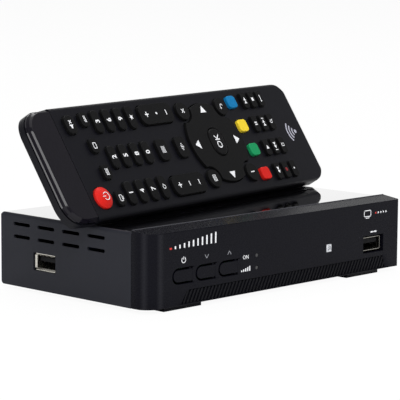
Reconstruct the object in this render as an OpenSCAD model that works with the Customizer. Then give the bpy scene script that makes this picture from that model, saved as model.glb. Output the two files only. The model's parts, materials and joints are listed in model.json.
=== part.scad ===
// Terrestrial television decoder with the remote control standing on its lid.
// Millimetres, +Z up, +X to the right, +Y to the rear.
// The origin is the middle of the decoder's footprint, on the table.

/* [Decoder case] */
// Overall width of the decoder
case_w = 168; // [160:1:200]
// Depth from the front face to the rear edge of the cover
case_d = 95; // [92:1:130]
// Height of the lid above the table
case_h = 35; // [33:1:50]
// Height of the feet under the case
foot_h = 2; // [1.5:0.5:4]
// Thickness of the folded steel sheet
sheet_t = 1; // [0.7:0.1:1.4]
// Outer bend radius of the cover's long edges
sheet_bend_r = 1.6; // [1.5:0.1:3]
// Gap between pieces that are fitted together
fit_gap = 0.15; // [0.1:0.05:0.3]
// Height of the cover's rear lip
lip_h = 8; // [6:0.5:9]
// Height of the tray's folded flanges
flange_h = 4; // [2:0.5:5]

/* [Front panel] */
// Depth of the moulded front panel
bezel_d = 10; // [9:0.5:16]
// Wall of the moulded front panel
bezel_wall = 2.5; // [2:0.1:3.2]
// Drop of the panel's top below the lid, at its front edge
bezel_drop = 0.7; // [0:0.1:0.9]
// Rise of the panel's top above the lid, at its rear edge
bezel_rise = 0.7; // [0:0.1:1.2]
// Radius of the panel's upright left corner
bezel_corner_r = 8; // [5:0.5:8.5]
// Radius of the panel's upright right corner
bezel_right_r = 1; // [0.5:0.1:2]
// Width of each moulded front foot
front_foot_w = 22.6; // [16:0.1:26]
// Distance of the left foot from the left side
left_foot_inset = 11.9; // [8:0.1:18]
// Distance of the right foot from the right side
right_foot_inset = 13; // [8:0.1:24]
// Height of the ribbed strip's lower edge above the table
strip_z = 2.7; // [2.6:0.1:5]
// Height of the ribbed strip
strip_h = 5.5; // [4:0.1:6]
// Distance of the strip's lower left corner from the left side
strip_left = 20.2; // [12:0.2:30]
// Distance of the strip's lower right corner from the right side
strip_right = 10; // [10:0.2:20]
// How far the strip's slanted ends lean in at the top
strip_slant = 3.9; // [1:0.1:6]
// Spacing of the strip's diagonal ribs
rib_pitch = 2.2; // [1.6:0.1:4]
// Thickness of one rib
rib_w = 1; // [0.6:0.1:1.4]
// Height of a rib above the strip's base
rib_rise = 0.6; // [0.3:0.1:0.8]

// Distance of the infrared lens's centre from the right side
lens_inset = 51; // [48:0.5:56]
// Width of the infrared lens
lens_w = 3.5; // [3:0.1:5]
// Height of the infrared lens
lens_h = 3.6; // [3:0.1:5]

/* [Front buttons] */
// Distance of the first button's free end from the left side
button_inset = 15.6; // [13:0.1:20]
// Spacing of the buttons
button_pitch = 14.2; // [13.8:0.1:18]
// Length of a button from its free end to its root
button_len = 10.9; // [9:0.1:11.2]
// Height of a button
button_h = 5.2; // [4:0.1:7]
// Height of the buttons' centre line above the table
button_z = 14.9; // [13:0.1:18]
// Width of the groove round a button
button_groove = 0.9; // [0.6:0.1:1.1]
// Clear way between a button's post and its switch
switch_travel = 1; // [0.9:0.1:1.4]

/* [USB sockets] */
// Outer width of a USB shell
usb_w = 13.2; // [13:0.1:14]
// Outer height of a USB shell
usb_h = 6.4; // [5.8:0.1:7]
// Depth of a USB shell
usb_d = 14; // [12:0.5:18]
// Sheet of a USB shell
usb_t = 0.4; // [0.3:0.05:0.5]
// Space round a USB shell in its cut-out
usb_rim = 0.8; // [0.5:0.1:1.2]
// Distance of the front socket's centre from the right side
front_usb_inset = 18.9; // [16:0.1:24]
// Distance of the side socket's centre behind the middle of the case
side_usb_y = 18.1; // [10:0.1:24]
// How far the sockets lie behind the outer faces
usb_recess = 1.4; // [0.2:0.1:1.6]

/* [Side vents] */
// Slots in one row
vent_count = 4; // [2:1:4]
// Length of a slot
vent_len = 11.2; // [6:0.1:14]
// Height of a slot
vent_h = 1.6; // [1:0.1:2.4]
// Spacing of the slots
vent_pitch = 16.3; // [15:0.1:18]
// Distance of the rearmost slot's centre from the rear edge
vent_rear = 14.2; // [10:0.1:20]
// Distance of the upper row below the lid
vent_drop = 4.6; // [4:0.1:7]
// Spacing of the two rows
vent_row = 5.7; // [4:0.1:6.5]

/* [Main board] */
// Height of the board above the tray's floor
board_rise = 7; // [6:0.5:9]
// Thickness of the circuit boards
board_t = 1.6; // [1:0.1:2]
// Gap between the board and the case's sides
board_gap = 3; // [2:0.5:5]
// Radius of a screw's shank
screw_r = 1.4; // [1.2:0.1:1.5]
// Radius of a screw's head
screw_head_r = 2.8; // [2.4:0.1:3]
// Height of a screw's head
screw_head_h = 1.6; // [1.2:0.1:2]
// Distance of the board's screws from its edges
board_screw_inset = 6; // [5:0.5:9]

/* [Rear sockets] */
// Outer radius of the aerial input's barrel
aerial_in_r = 5.5; // [5.2:0.1:6]
// Inner radius of the aerial input's barrel
aerial_in_bore_r = 4.75; // [4.5:0.05:4.9]
// Inner radius of the aerial input's centre contact
aerial_contact_r = 1.2; // [1:0.05:1.4]
// Outer radius of the aerial output's barrel
aerial_out_r = 4.5; // [4.3:0.05:5]
// Length of the aerial barrels outside the case
aerial_len = 9.5; // [8:0.5:14]
// Distance of the aerial input's axis from the right side
aerial_in_inset = 18; // [17:0.5:20]
// Spacing of the two aerial sockets
aerial_pitch = 18; // [16:0.5:20]
// Outer radius of a phono sleeve
phono_r = 4.15; // [4:0.05:4.4]
// Length of a phono sleeve outside the case
phono_len = 8; // [7:0.5:10]
// Spacing of the phono sockets
phono_pitch = 12.5; // [11:0.5:13]
// Phono sockets in the row
phono_count = 4; // [2:1:4]
// Distance of the phono row's middle from the left side
phono_inset = 45; // [44:0.5:46]
// Distance of the DC inlet's axis from the left side
dc_inset = 13; // [11.5:0.5:13.5]
// Radius of the DC inlet's hole
dc_bore_r = 3.1; // [2.8:0.1:3.3]
// Radius of the DC inlet's pin
dc_pin_r = 1.05; // [0.8:0.05:1.25]
// Gap between the phono block, the video socket and the network socket
socket_gap = 1.75; // [1:0.25:3]
// Width of the video socket
video_w = 15; // [14.5:0.1:15.5]
// Height of the video socket
video_h = 6; // [5.6:0.1:6.4]
// Width of the network socket
lan_w = 16; // [15:0.1:17]
// Height of the network socket
lan_h = 13.5; // [12.5:0.1:14.5]
// Width of the network socket's mouth
lan_mouth_w = 12; // [11.6:0.1:12.4]

/* [Remote] */
// Length of the remote
remote_len = 202; // [180:1:220]
// Width of the remote's face
remote_w = 55; // [53:0.5:60]
// Thickness of the remote
remote_t = 21; // [20.5:0.5:25]
// Wall of the remote's case
remote_wall = 2; // [1.6:0.1:2.4]
// Thickness of the remote's back
remote_back = 3; // [2.6:0.1:3.4]
// Upright band of the side, between the face and the sloping flank
remote_band = 5.5; // [4.5:0.1:6.5]
// Rounding of the face's edges, and width of the facets round the window
remote_edge_r = 1.9; // [0.8:0.1:2.2]
// Radius of the remote's corners in plan
remote_corner_r = 11; // [6:0.5:12]
// Depth at which the two halves of the case meet
remote_split = 2.5; // [2.4:0.1:3]
// Width of the shadow groove between the two halves
groove_w = 0.7; // [0.4:0.1:1]
// Depth of that groove
groove_d = 0.8; // [0.4:0.1:1.2]
// Length of the dark infrared window at the end
window_len = 17.7; // [15:0.1:20]
// Thickness of the remote at the window's end
end_t = 6.4; // [6:0.1:9]
// Distance from the tail at which the back starts to thin towards that end
thin_start = 112; // [104:1:120]
// Wall of the back where it thins
thin_wall = 2.2; // [1.8:0.1:2.4]
// Lean of the remote's face from upright, which its flanks share
remote_lean = 31.8; // [26:0.1:33]
// Turn of the remote on the lid
remote_yaw = 8.9; // [0:0.1:12]
// Overhang of the remote's tail past the right side of the decoder
remote_overhang = 12.8; // [5:0.1:30]
// Distance of the tail's lower edge behind the middle of the case
remote_tail_y = 8.8; // [0:0.1:20]

/* [Remote keys] */
// Height of the keys above the face
key_rise = 1.5; // [1:0.1:2.4]
// Clear gap round a key in its hole
key_gap = 0.3; // [0.25:0.05:0.5]
// Travel of a key
key_travel = 0.9; // [0.5:0.1:1.2]
// Width of the lip that keeps a key in the case
key_lip = 0.8; // [0.6:0.1:1]
// Thickness of that lip
key_lip_t = 0.7; // [0.5:0.1:1]
// Distance of the four outer columns' key centres from the face's edges
edge_column = 8; // [7.5:0.1:9]
// Distance of the digit columns' key centres from the face's edges
digit_column = 9.7; // [9:0.1:10.5]
// Size of a digit key along the remote
digit_len = 5; // [4:0.1:6]
// Size of a digit key across the remote
digit_wid = 11; // [8:0.1:11.6]
// Spacing of the digit rows
digit_pitch = 8.23; // [7.9:0.01:8.5]
// Distance of the first digit row from the window's seam
digit_row = 26.8; // [26.5:0.1:27.5]
// Radius of the power key
power_key_r = 5.2; // [4:0.1:5.6]
// Distance of the power and mute keys from the window's seam
power_row = 8.2; // [7.6:0.1:9]
// Length of the mute key along the remote
mute_key_len = 6.4; // [5:0.1:8]
// Width of the mute key across the remote
mute_key_wid = 9; // [7:0.1:10]
// Length of a key of the small upper row along the remote
upper_key_len = 5.4; // [4:0.1:5.8]
// Width of a key of the small upper row across the remote
upper_key_wid = 6.8; // [5:0.1:8]
// How far the row's two middle keys lie nearer the window
upper_key_shift = 1.1; // [0:0.1:1.6]
// Distance of the small upper row from the window's seam
upper_row = 18.5; // [18.3:0.1:19]
// Length of a rocker key
rocker_len = 24.5; // [20:0.5:26]
// Width of a rocker key
rocker_wid = 10; // [8:0.1:11]
// Distance of the rockers' centres from the window's seam
rocker_row = 70.7; // [70.3:0.1:71.8]
// Length of the two keys between the rockers, along the remote
middle_key_len = 7.6; // [6:0.1:9]
// Width of those keys across the remote
middle_key_wid = 10.5; // [8:0.1:12]
// Distance of those keys from the rockers' centres, along the remote
middle_key_reach = 7.3; // [6:0.1:8]
// Radius of the navigation ring
ring_r = 20.8; // [19:0.1:21.4]
// Distance of the navigation ring's centre from the window's seam
ring_row = 107; // [106.7:0.1:108]
// Length of the OK key along the remote
ok_len = 10.4; // [9:0.1:12]
// Width of the OK key across the remote
ok_wid = 14; // [12:0.1:16]
// Radius of the four round keys at the ring's corners
corner_key_r = 4.5; // [3.6:0.1:4.7]
// Distance of those keys from the ring's centre, along the remote
corner_key_reach = 15.8; // [15.4:0.1:17]
// Size of a coloured key along the remote
colour_key_len = 7; // [6:0.1:8.2]
// Size of a coloured key across the remote
colour_key_wid = 6.4; // [6:0.1:8]
// Distance of the coloured row from the window's seam
colour_row = 133.2; // [133:0.1:134]
// Size of a small media key along the remote
media_len = 4.3; // [3.5:0.1:4.8]
// Size of a small media key across the remote
media_wid = 8.3; // [6:0.1:9]
// Spacing of the media rows
media_pitch = 6.85; // [6.4:0.05:7]
// Distance of the first media row from the window's seam
media_row = 144.2; // [143.8:0.1:144.8]

/* [Remote cells] */
// Radius of an AAA cell
cell_r = 5.25; // [5:0.05:5.3]
// Length of an AAA cell
cell_len = 44.5; // [43:0.1:46]
// Distance of the cells from the remote's tail
cell_tail = 40; // [34:0.5:44]
// Thickness of the battery cover
cover_t = 1.6; // [1.2:0.1:1.8]
// Width of the battery cover
cover_w = 26; // [24:0.5:27]
// Length of the battery cover
cover_len = 92; // [88:1:100]
// How far the cover's edges reach under the back
cover_dovetail = 0.8; // [0.4:0.1:1]
// Clear gap round the cover
cover_gap = 0.25; // [0.2:0.05:0.4]

/* [Hidden] */
$fn = 48;

half_w = case_w / 2;
front_y = -case_d / 2;
rear_y = case_d / 2;
metal_y = front_y + bezel_d;
case_z = foot_h;
floor_z = case_z + sheet_t;
lid_z = case_h - sheet_t;
tray_x = half_w - sheet_t - fit_gap;
wall_y = rear_y - sheet_t - fit_gap;
wall_in_y = wall_y - sheet_t;
board_z = floor_z + board_rise;
board_top = board_z + board_t;
board_x = half_w - sheet_t - board_gap;
board_front_gap = 1.5;
board_rear_gap = 0.5;
board_front = metal_y + board_front_gap;
board_rear = wall_in_y - board_rear_gap;
cut = 1;
standoff_r = 3.2;
standoff_hole = 5;
screw_space = 1;
tray_screw_bite = 4;
post_screw_bite = 3;
cover_screw_len = 5;
cover_screw_rise = 0.5;
screw_seat = 0.5;
rear_foot_r = 6;
rear_foot_side = 24;
rear_foot_back = 16;
screw_xs_inset = 9;
bezel_top_t = 2;
front_post_r = 2.6;
front_post_hole = 4;
left_post_gap = 7;
right_post_gap = 12;
front_foot_set = 2;
front_foot_gap = 0.6;
strip_set = 0.1;
strip_base = 0.6;
strip_lean = 0.7;
button_post_r = 1.3;
button_play = 0.3;

chip_w = 24;
chip_h = 1.8;
sink_w = 28;
sink_base = 2.5;
sink_h = 9;
sink_fins = 7;
fin_t = 1.6;
capacitor_r = 4;
capacitor_h = 12;
capacitor_places = [for (p = [[-0.37, 0.126], [-0.3, 0.126], [0.2, -0.232], [0.27, -0.232]])
    [p[0] * case_w, p[1] * case_d]];
ribbon_x = -22;
ribbon_w = 16;
ribbon_t = 0.6;
ribbon_edge = 1;
ribbon_rise = 9;
plug_t = 2.5;

usb_z = board_top + usb_h / 2;
usb_block_d = 4;
usb_tongue_set = 1.2;
usb_tongue_side = 0.6;
usb_tongue_z = 0.2;
usb_tongue_t = 1.9;
front_usb_x = half_w - front_usb_inset;

lens_x = half_w - lens_inset;
lens_rise = 1.3;
lens_proud = 0.1;
lens_z = button_z + lens_rise;
front_board_set = 1.5;
front_board_side = 8;
front_board_reach = 7;
front_board_gap = 2;
front_board_h = 19;
post_drop = 3.5;
front_board_y = metal_y - front_board_set;
front_board_back = front_board_y + board_t;
front_board_left = -half_w + front_board_side;
front_board_right = lens_x + front_board_reach;
front_board_low = floor_z + flange_h + front_board_gap;
front_board_high = front_board_low + front_board_h;
post_z = front_board_high - post_drop;
switch_w = 6;
switch_d = 3.4;
switch_tip = 0.9;
switch_tip_r = 1.7;
receiver_w = 6;
receiver_h = 7;
receiver_d = 3;
receiver_eye_r = 2;
inside_gap = 0.4;
switch_front = front_board_y - switch_d - switch_tip;
pivot_r = 0.8;
pivot_out = 0.6;
root_reach = 1.15;
led_gap = 13;
led_up = 3.6;
led_down = 2;
led_r = 1.5;
led_tip_r = 0.8;
led_x = button_x(2) + button_len + led_gap;
led_zs = [button_z + led_up, button_z - led_down];

socket_rise = 7.5;
socket_z = board_top + socket_rise;
aerial_in_x = half_w - aerial_in_inset;
aerial_out_x = aerial_in_x - aerial_pitch;
can_left = 9;
can_right = 10;
can_x0 = aerial_out_x - can_left;
can_x1 = aerial_in_x + can_right;
can_d = 22;
can_h = 14;
can_t = 0.6;
socket_space = 0.4;
barrel_space = 0.6;
phono_space = 1.1;
phono_bore_r = 1.7;
socket_sheet = 0.45;
aerial_base_y = board_rear + fit_gap;
aerial_floor = 2.5;
aerial_wall = 0.6;
aerial_pin_r = 1.15;
aerial_pin_back = 1.5;
contact_wall = 0.7;
phono_x0 = -half_w + phono_inset - phono_pitch * (phono_count - 1) / 2;
dc_x = -half_w + dc_inset;
phono_x1 = phono_x0 + phono_pitch * (phono_count - 1);
phono_edge = 6;
phono_d = 11;
phono_floor = 1.5;
video_x = phono_x1 + phono_edge + socket_gap + video_w / 2;
lan_x = video_x + video_w / 2 + socket_gap + lan_w / 2;
video_d = 11;
video_floor = 2.5;
video_tongue_side = 2;
video_tongue_back = 1.5;
video_tongue_z = 2.6;
video_tongue_t = 1.2;
lan_d = 20;
lan_mouth_d = 13;
lan_mouth_low = 3.2;
lan_mouth_top = 1.8;
lan_latch_w = 6;
lan_latch_low = 1.2;
lan_latch_top = 4;
dc_drop = 1.5;
dc_w = 9.4;
dc_d = 12;
dc_top = 5.2;
dc_wall = 1.4;
dc_deep = 10;
dc_floor = 1;
dc_z = socket_z - dc_drop;

stand_gap = 0.2;
remote_z = case_h + stand_gap + remote_band * sin(remote_lean);
remote_mid = remote_w / 2;
key_field = 184.3;
key_scale = (remote_len - window_len) / key_field;
key_seat = 0.25;
key_corner_r = 2;
soft_corner_r = 2.6;
rocker_corner_r = 3.5;
colour_corner_r = 1.8;
media_corner_r = 1.2;
ok_corner = 0.2;
ok_gap = 0.6;
ok_rise = 0.2;
ring_drop = 0.3;
ring_bead_len = 9;
tilt_gap = 0.2;
dome_r = 9;
dome_rise = 1;
key_depth = remote_wall + key_seat + key_lip_t;
mat_gap = 0.35;
mat_v = key_depth + key_travel + mat_gap;
mat_t = 1;
mat_side = 0.5;
mat_end = 2;
mat_tail = 18;
remote_board_gap = 0.1;
remote_board_side = 0.4;
remote_board_end = 2.5;
remote_board_tail = 14;
remote_board_v = mat_v + mat_t + remote_board_gap;
remote_board_t = 1.2;
remote_led_r = 1.5;
remote_led_len = 5;
remote_led_drop = 0.7;
remote_led_reach = 4;
cell_gap = 0.3;
cell_seat = 0.35;
cell_tip = 1;
cell_tip_r = 1.9;
cell_v = remote_t - remote_back - cell_seat - cell_r;
contact_t = 0.9;
contact_w = 9;
contact_low = 4;
contact_high = 2.8;
bay_gap = 1.5;
bay_wall = 1.4;
bay_w = 23;
bay_sink = 0.5;
bay_high = 3;
edge_off = remote_mid - edge_column;
edge_offs = [-edge_off, -edge_off / 3, edge_off / 3, edge_off];
digit_off = remote_mid - digit_column;
rocker_shift = 0.4;
rocker_off = digit_off + rocker_shift;
rocker_axis_drop = 0.3;
rocker_axis_v = key_depth + rocker_axis_drop;
rocker_bead_r = 0.6;
rocker_bead_inset = 1;
corner_land = 1.5;
corner_r = key_scale * corner_key_r;
corner_reach = key_scale * corner_key_reach;
corner_cut_r = corner_r + key_gap + corner_land;
ok_l = key_scale * ok_len;
ring_radius = key_scale * ring_r;

function bezel_top(y) = case_h - bezel_drop + (y - front_y) * (bezel_drop + bezel_rise) / bezel_d;
function button_x(i) = -half_w + button_inset + i * button_pitch;
function flank_u(v) = max(0, v - remote_band) * tan(remote_lean);
function inner_u(v) = max(
    remote_wall, (remote_wall + (v - remote_band) * sin(remote_lean)) / cos(remote_lean));

// Building blocks

module slab(x0, x1, y0, y1, z0, z1) {
    translate([x0, y0, z0]) cube([x1 - x0, y1 - y0, z1 - z0]);
}

// Outline in x and z, given depth along y
module upright(y0, depth) {
    translate([0, y0 + depth, 0]) rotate([90, 0, 0]) linear_extrude(depth) children();
}

// Outline in y and z, given depth along x
module sideways(x0, depth) {
    translate([x0, 0, 0]) rotate([90, 0, 90]) linear_extrude(depth) children();
}

module rod_y(x, y0, z, r, length) {
    translate([x, y0, z]) rotate([-90, 0, 0]) cylinder(r = r, h = length);
}

module rounded_rect(w, h, r) {
    square([w - 2 * r, h], center = true);
    square([w, h - 2 * r], center = true);
    for (sx = [-1, 1], sy = [-1, 1]) translate([sx * (w / 2 - r), sy * (h / 2 - r)]) circle(r);
}

module slot(length, height) {
    square([length - height, height], center = true);
    for (s = [-1, 1]) translate([s * (length - height) / 2, 0]) circle(height / 2);
}

// Decoder case

module cover_profile() {
    r = sheet_bend_r;
    difference() {
        union() {
            translate([-half_w, case_z]) square([case_w, case_h - case_z - r]);
            translate([-half_w + r, case_z]) square([case_w - 2 * r, case_h - case_z]);
            for (s = [-1, 1]) translate([s * (half_w - r), case_h - r]) circle(r);
        }
        translate([-half_w + sheet_t, case_z - cut]) square([case_w - 2 * sheet_t, lid_z - case_z + cut]);
    }
}

// Side view of the cover, with its rear corners rounded
module cover_side() {
    r = sheet_bend_r;
    h = case_h - case_z;
    translate([metal_y, case_z]) square([rear_y - metal_y - r, h]);
    translate([metal_y, case_z + r]) square([rear_y - metal_y, h - 2 * r]);
    for (z = [case_z + r, case_h - r]) translate([rear_y - r, z]) circle(r);
}

module vent_pattern() {
    for (i = [0:vent_count - 1], row = [0, 1])
        translate([rear_y - vent_rear - i * vent_pitch, case_h - vent_drop - row * vent_row])
            slot(vent_len, vent_h);
}

cover_screw_xs = [-half_w + screw_xs_inset, 0, half_w - screw_xs_inset];
cover_screw_z = case_h - sheet_t - lip_h / 2 + cover_screw_rise;

module top_cover() {
    color("#2b2c31") difference() {
        intersection() {
            union() {
                upright(metal_y + fit_gap, rear_y - metal_y - fit_gap) cover_profile();
                slab(-half_w + sheet_t, half_w - sheet_t, rear_y - sheet_t, rear_y, case_h - lip_h, lid_z);
            }
            sideways(-half_w - cut, case_w + 2 * cut) cover_side();
        }
        sideways(-half_w - cut, case_w + 2 * cut) vent_pattern();
        sideways(-half_w - cut, sheet_t + 2 * cut)
            translate([side_usb_y, usb_z]) square([usb_w + 2 * usb_rim, usb_h + 2 * usb_rim], center = true);
        for (x = cover_screw_xs)
            rod_y(x, rear_y - sheet_t - cut, cover_screw_z, screw_r + fit_gap, sheet_t + 2 * cut);
    }
}

standoff_ys = [board_front + board_screw_inset, side_usb_y - usb_w / 2 - screw_head_r - screw_space];
standoffs = [for (s = [-1, 1], y = standoff_ys) [s * (board_x - board_screw_inset), y]];

module base_tray() {
    color("#8f9195") difference() {
        union() {
            slab(-tray_x, tray_x, metal_y + fit_gap, wall_y, case_z, floor_z);
            slab(-tray_x, tray_x, wall_in_y, wall_y, case_z, lid_z - fit_gap);
            for (s = [-1, 1])
                slab(s * tray_x - (s > 0 ? sheet_t : 0), s * tray_x + (s > 0 ? 0 : sheet_t),
                    metal_y + fit_gap, wall_y, case_z, floor_z + flange_h);
            slab(-tray_x, tray_x, metal_y + fit_gap, metal_y + fit_gap + sheet_t, case_z, floor_z + flange_h);
            for (p = standoffs) translate([p[0], p[1], case_z])
                cylinder(r = standoff_r, h = board_z - case_z);
        }
        for (p = standoffs) translate([p[0], p[1], board_z - standoff_hole])
            cylinder(r = screw_r + fit_gap, h = standoff_hole + cut);
        for (x = cover_screw_xs)
            rod_y(x, wall_in_y - cut, cover_screw_z, screw_r + fit_gap, sheet_t + 2 * cut);
        rod_y(aerial_in_x, wall_in_y - cut, socket_z, aerial_in_r + barrel_space, sheet_t + 2 * cut);
        rod_y(aerial_out_x, wall_in_y - cut, socket_z, aerial_in_r + barrel_space, sheet_t + 2 * cut);
        for (i = [0:phono_count - 1])
            rod_y(phono_x0 + i * phono_pitch, wall_in_y - cut, socket_z, phono_r + phono_space,
                sheet_t + 2 * cut);
        rod_y(dc_x, wall_in_y - cut, dc_z, dc_bore_r + dc_wall + socket_space, sheet_t + 2 * cut);
        for (a = [[video_x, video_w, video_h], [lan_x, lan_w, lan_h]])
            slab(a[0] - a[1] / 2 - socket_space, a[0] + a[1] / 2 + socket_space,
                wall_in_y - cut, wall_y + cut, board_top - socket_space, board_top + a[2] + socket_space);
    }
}

module rear_feet() {
    color("#1c1c1e") for (s = [-1, 1])
        translate([s * (half_w - rear_foot_side), rear_y - rear_foot_back, 0])
            cylinder(r = rear_foot_r, h = case_z);
}

// A pan-head screw pointing down, its head resting on z = 0
module screw(length) {
    cylinder(r = screw_head_r, h = screw_head_h);
    translate([0, 0, -length]) cylinder(r = screw_r, h = length + screw_seat);
}

post_xs = [button_x(0) + button_len / 2 + left_post_gap, lens_x - right_post_gap];

module case_screws() {
    color("#a9abb0") {
        for (p = standoffs) translate([p[0], p[1], board_top]) screw(board_t + tray_screw_bite);
        for (x = cover_screw_xs) translate([x, rear_y, cover_screw_z])
            rotate([-90, 0, 0]) screw(cover_screw_len);
        for (x = post_xs) translate([x, front_board_back, post_z])
            rotate([-90, 0, 0]) screw(board_t + post_screw_bite);
    }
}

// Front panel

// Outline in plan: a wide curve at the left corner, a slight one at the right
module bezel_plan(inset, rear) {
    left_r = bezel_corner_r - inset;
    right_r = bezel_right_r;
    x0 = -half_w + inset;
    x1 = half_w - inset;
    y0 = front_y + inset;
    intersection() {
        union() {
            translate([x0 + left_r, y0 + left_r]) circle(left_r);
            translate([x1 - right_r, y0 + right_r]) circle(right_r);
            translate([x0 + left_r, y0]) square([x1 - x0 - left_r - right_r, left_r]);
            translate([x1 - right_r, y0 + right_r]) square([right_r, left_r - right_r]);
            translate([x0, y0 + left_r]) square([x1 - x0, rear - y0 - left_r]);
        }
        translate([x0, y0]) square([x1 - x0, rear - y0]);
    }
}

module strip_outline(grow) {
    polygon([
        [-half_w + strip_left - grow, strip_z - grow],
        [half_w - strip_right + grow, strip_z - grow],
        [half_w - strip_right - strip_slant / 2 + grow, strip_z + strip_h + grow],
        [-half_w + strip_left + strip_slant - grow, strip_z + strip_h + grow]
    ]);
}

module button_opening(i) {
    x = button_x(i);
    r = button_h / 2;
    translate([x + r, button_z]) circle(r + button_groove);
    translate([x + r, button_z - r - button_groove])
        square([button_len - r + root_reach + button_play, button_h + 2 * button_groove]);
}

module front_panel() {
    strip_d = strip_set + rib_rise + strip_base;
    color("#1d1d20") difference() {
        union() {
            difference() {
                translate([0, 0, case_z]) linear_extrude(case_h + bezel_rise - case_z) bezel_plan(0, metal_y);
                sideways(-half_w - cut, case_w + 2 * cut) polygon([
                    [front_y - cut, bezel_top(front_y - cut)], [metal_y + cut, bezel_top(metal_y + cut)],
                    [metal_y + cut, case_h + bezel_rise + cut], [front_y - cut, case_h + bezel_rise + cut]
                ]);
                translate([0, 0, case_z + bezel_top_t]) linear_extrude(case_h - case_z - 2 * bezel_top_t)
                    bezel_plan(bezel_wall, metal_y + cut);
            }
            slab(-half_w + left_foot_inset, -half_w + left_foot_inset + front_foot_w,
                front_y + front_foot_set, metal_y - front_foot_gap, 0, case_z + cut);
            slab(half_w - right_foot_inset - front_foot_w, half_w - right_foot_inset,
                front_y + front_foot_set, metal_y - front_foot_gap, 0, case_z + cut);
            for (x = post_xs) rod_y(x, front_y + cut, post_z, front_post_r, front_board_y - front_y - cut);
        }
        upright(front_y - cut, strip_d + cut) strip_outline(fit_gap);
        for (i = [0:2]) upright(front_y - cut, bezel_wall + 2 * cut) button_opening(i);
        upright(front_y - cut, bezel_wall + 2 * cut) translate([front_usb_x, usb_z])
            square([usb_w + 2 * usb_rim, usb_h + 2 * usb_rim], center = true);
        upright(front_y - cut, bezel_wall + 2 * cut) translate([lens_x, lens_z])
            square([lens_w + 2 * fit_gap, lens_h + 2 * fit_gap], center = true);
        for (z = led_zs) rod_y(led_x, front_y - cut, z, led_tip_r + fit_gap, bezel_wall + 2 * cut);
        for (x = post_xs) rod_y(x, front_board_y - front_post_hole, post_z, screw_r + fit_gap,
            front_post_hole + cut);
    }
}

module rib_strip() {
    lean = strip_h * strip_lean;
    x0 = -half_w + strip_left - lean;
    x1 = half_w - strip_right;
    color("#17171a") {
        upright(front_y + strip_set + rib_rise, strip_base) strip_outline(0);
        upright(front_y + strip_set, rib_rise + strip_base / 2) intersection() {
            strip_outline(0);
            for (x = [x0:rib_pitch:x1]) polygon([
                [x, strip_z - cut], [x + rib_w, strip_z - cut],
                [x + rib_w + lean, strip_z + strip_h + cut], [x + lean, strip_z + strip_h + cut]
            ]);
        }
    }
}

module button(i) {
    x = button_x(i);
    r = button_h / 2;
    post_y = front_y + bezel_wall / 2;
    color("#1f1f22") {
        upright(front_y, bezel_wall) {
            translate([x + r, button_z]) circle(r);
            translate([x + r, button_z - r]) square([button_len - r + root_reach, button_h]);
        }
        translate([x + button_len, front_y + bezel_wall / 2, button_z - r - pivot_out])
            cylinder(r = pivot_r, h = button_h + 2 * pivot_out);
        rod_y(x + r, post_y, button_z, button_post_r, switch_front - switch_travel - post_y);
    }
}

module power_button() {
    button(0);
}

module down_button() {
    button(1);
}

module up_button() {
    button(2);
}

module ir_lens() {
    color("#b9bcc2") upright(front_y - lens_proud, bezel_wall + lens_proud) translate([lens_x, lens_z])
        square([lens_w, lens_h], center = true);
}

module status_leds() {
    color("#c9d6c2") for (z = led_zs) {
        rod_y(led_x, front_y + bezel_wall + inside_gap, z, led_r,
            front_board_y - front_y - bezel_wall - inside_gap);
        rod_y(led_x, front_y + fit_gap, z, led_tip_r, bezel_wall + inside_gap);
    }
}

module ir_receiver() {
    y0 = front_y + bezel_wall + inside_gap;
    w = receiver_w / 2;
    h = receiver_h / 2;
    color("#141416") {
        slab(lens_x - w, lens_x + w, front_board_y - receiver_d, front_board_y, lens_z - h, lens_z + h);
        rod_y(lens_x, y0, lens_z, receiver_eye_r, front_board_y - y0 - receiver_d / 2);
    }
}

module front_board() {
    color("#2f6b3c") difference() {
        slab(front_board_left, front_board_right, front_board_y, front_board_back,
            front_board_low, front_board_high);
        for (x = post_xs) rod_y(x, front_board_y - cut, post_z, screw_r + fit_gap, board_t + 2 * cut);
    }
}

module tact_switches() {
    color("#3a3a3e") for (i = [0:2]) {
        x = button_x(i) + button_h / 2;
        slab(x - switch_w / 2, x + switch_w / 2, front_board_y - switch_d, front_board_y,
            button_z - switch_w / 2, button_z + switch_w / 2);
        rod_y(x, switch_front, button_z, switch_tip_r, 2 * switch_tip);
    }
}

// Main board and what stands on it

module main_board() {
    color("#2f6b3c") difference() {
        slab(-board_x, board_x, board_front, board_rear, board_z, board_top);
        for (p = standoffs) translate([p[0], p[1], board_z - cut])
            cylinder(r = screw_r + fit_gap, h = board_t + 2 * cut);
    }
}

module main_chip() {
    color("#1b1b1d") slab(-chip_w / 2, chip_w / 2, -chip_w / 2, chip_w / 2, board_top, board_top + chip_h);
}

module heat_sink() {
    z0 = board_top + chip_h;
    a = sink_w / 2;
    pitch = (sink_w - fin_t) / (sink_fins - 1);
    color("#4b4d52") {
        slab(-a, a, -a, a, z0, z0 + sink_base);
        for (i = [0:sink_fins - 1]) translate([-a + i * pitch, -a, z0]) cube([fin_t, sink_w, sink_h]);
    }
}

module tuner_can() {
    color("#c3c6ca") difference() {
        slab(can_x0, can_x1, board_rear - can_d, board_rear, board_top, board_top + can_h);
        slab(can_x0 + can_t, can_x1 - can_t, board_rear - can_d + can_t, board_rear - can_t,
            board_top - cut, board_top + can_h - can_t);
    }
}

module aerial_in_socket() {
    length = rear_y + aerial_len - aerial_base_y;
    color("#c9ccd0") difference() {
        rod_y(aerial_in_x, aerial_base_y, socket_z, aerial_in_r, length);
        difference() {
            rod_y(aerial_in_x, aerial_base_y + aerial_floor, socket_z, aerial_in_bore_r, length);
            rod_y(aerial_in_x, aerial_base_y, socket_z, aerial_contact_r + contact_wall,
                length - aerial_pin_back);
        }
        rod_y(aerial_in_x, aerial_base_y + aerial_floor, socket_z, aerial_contact_r, length);
    }
}

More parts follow.
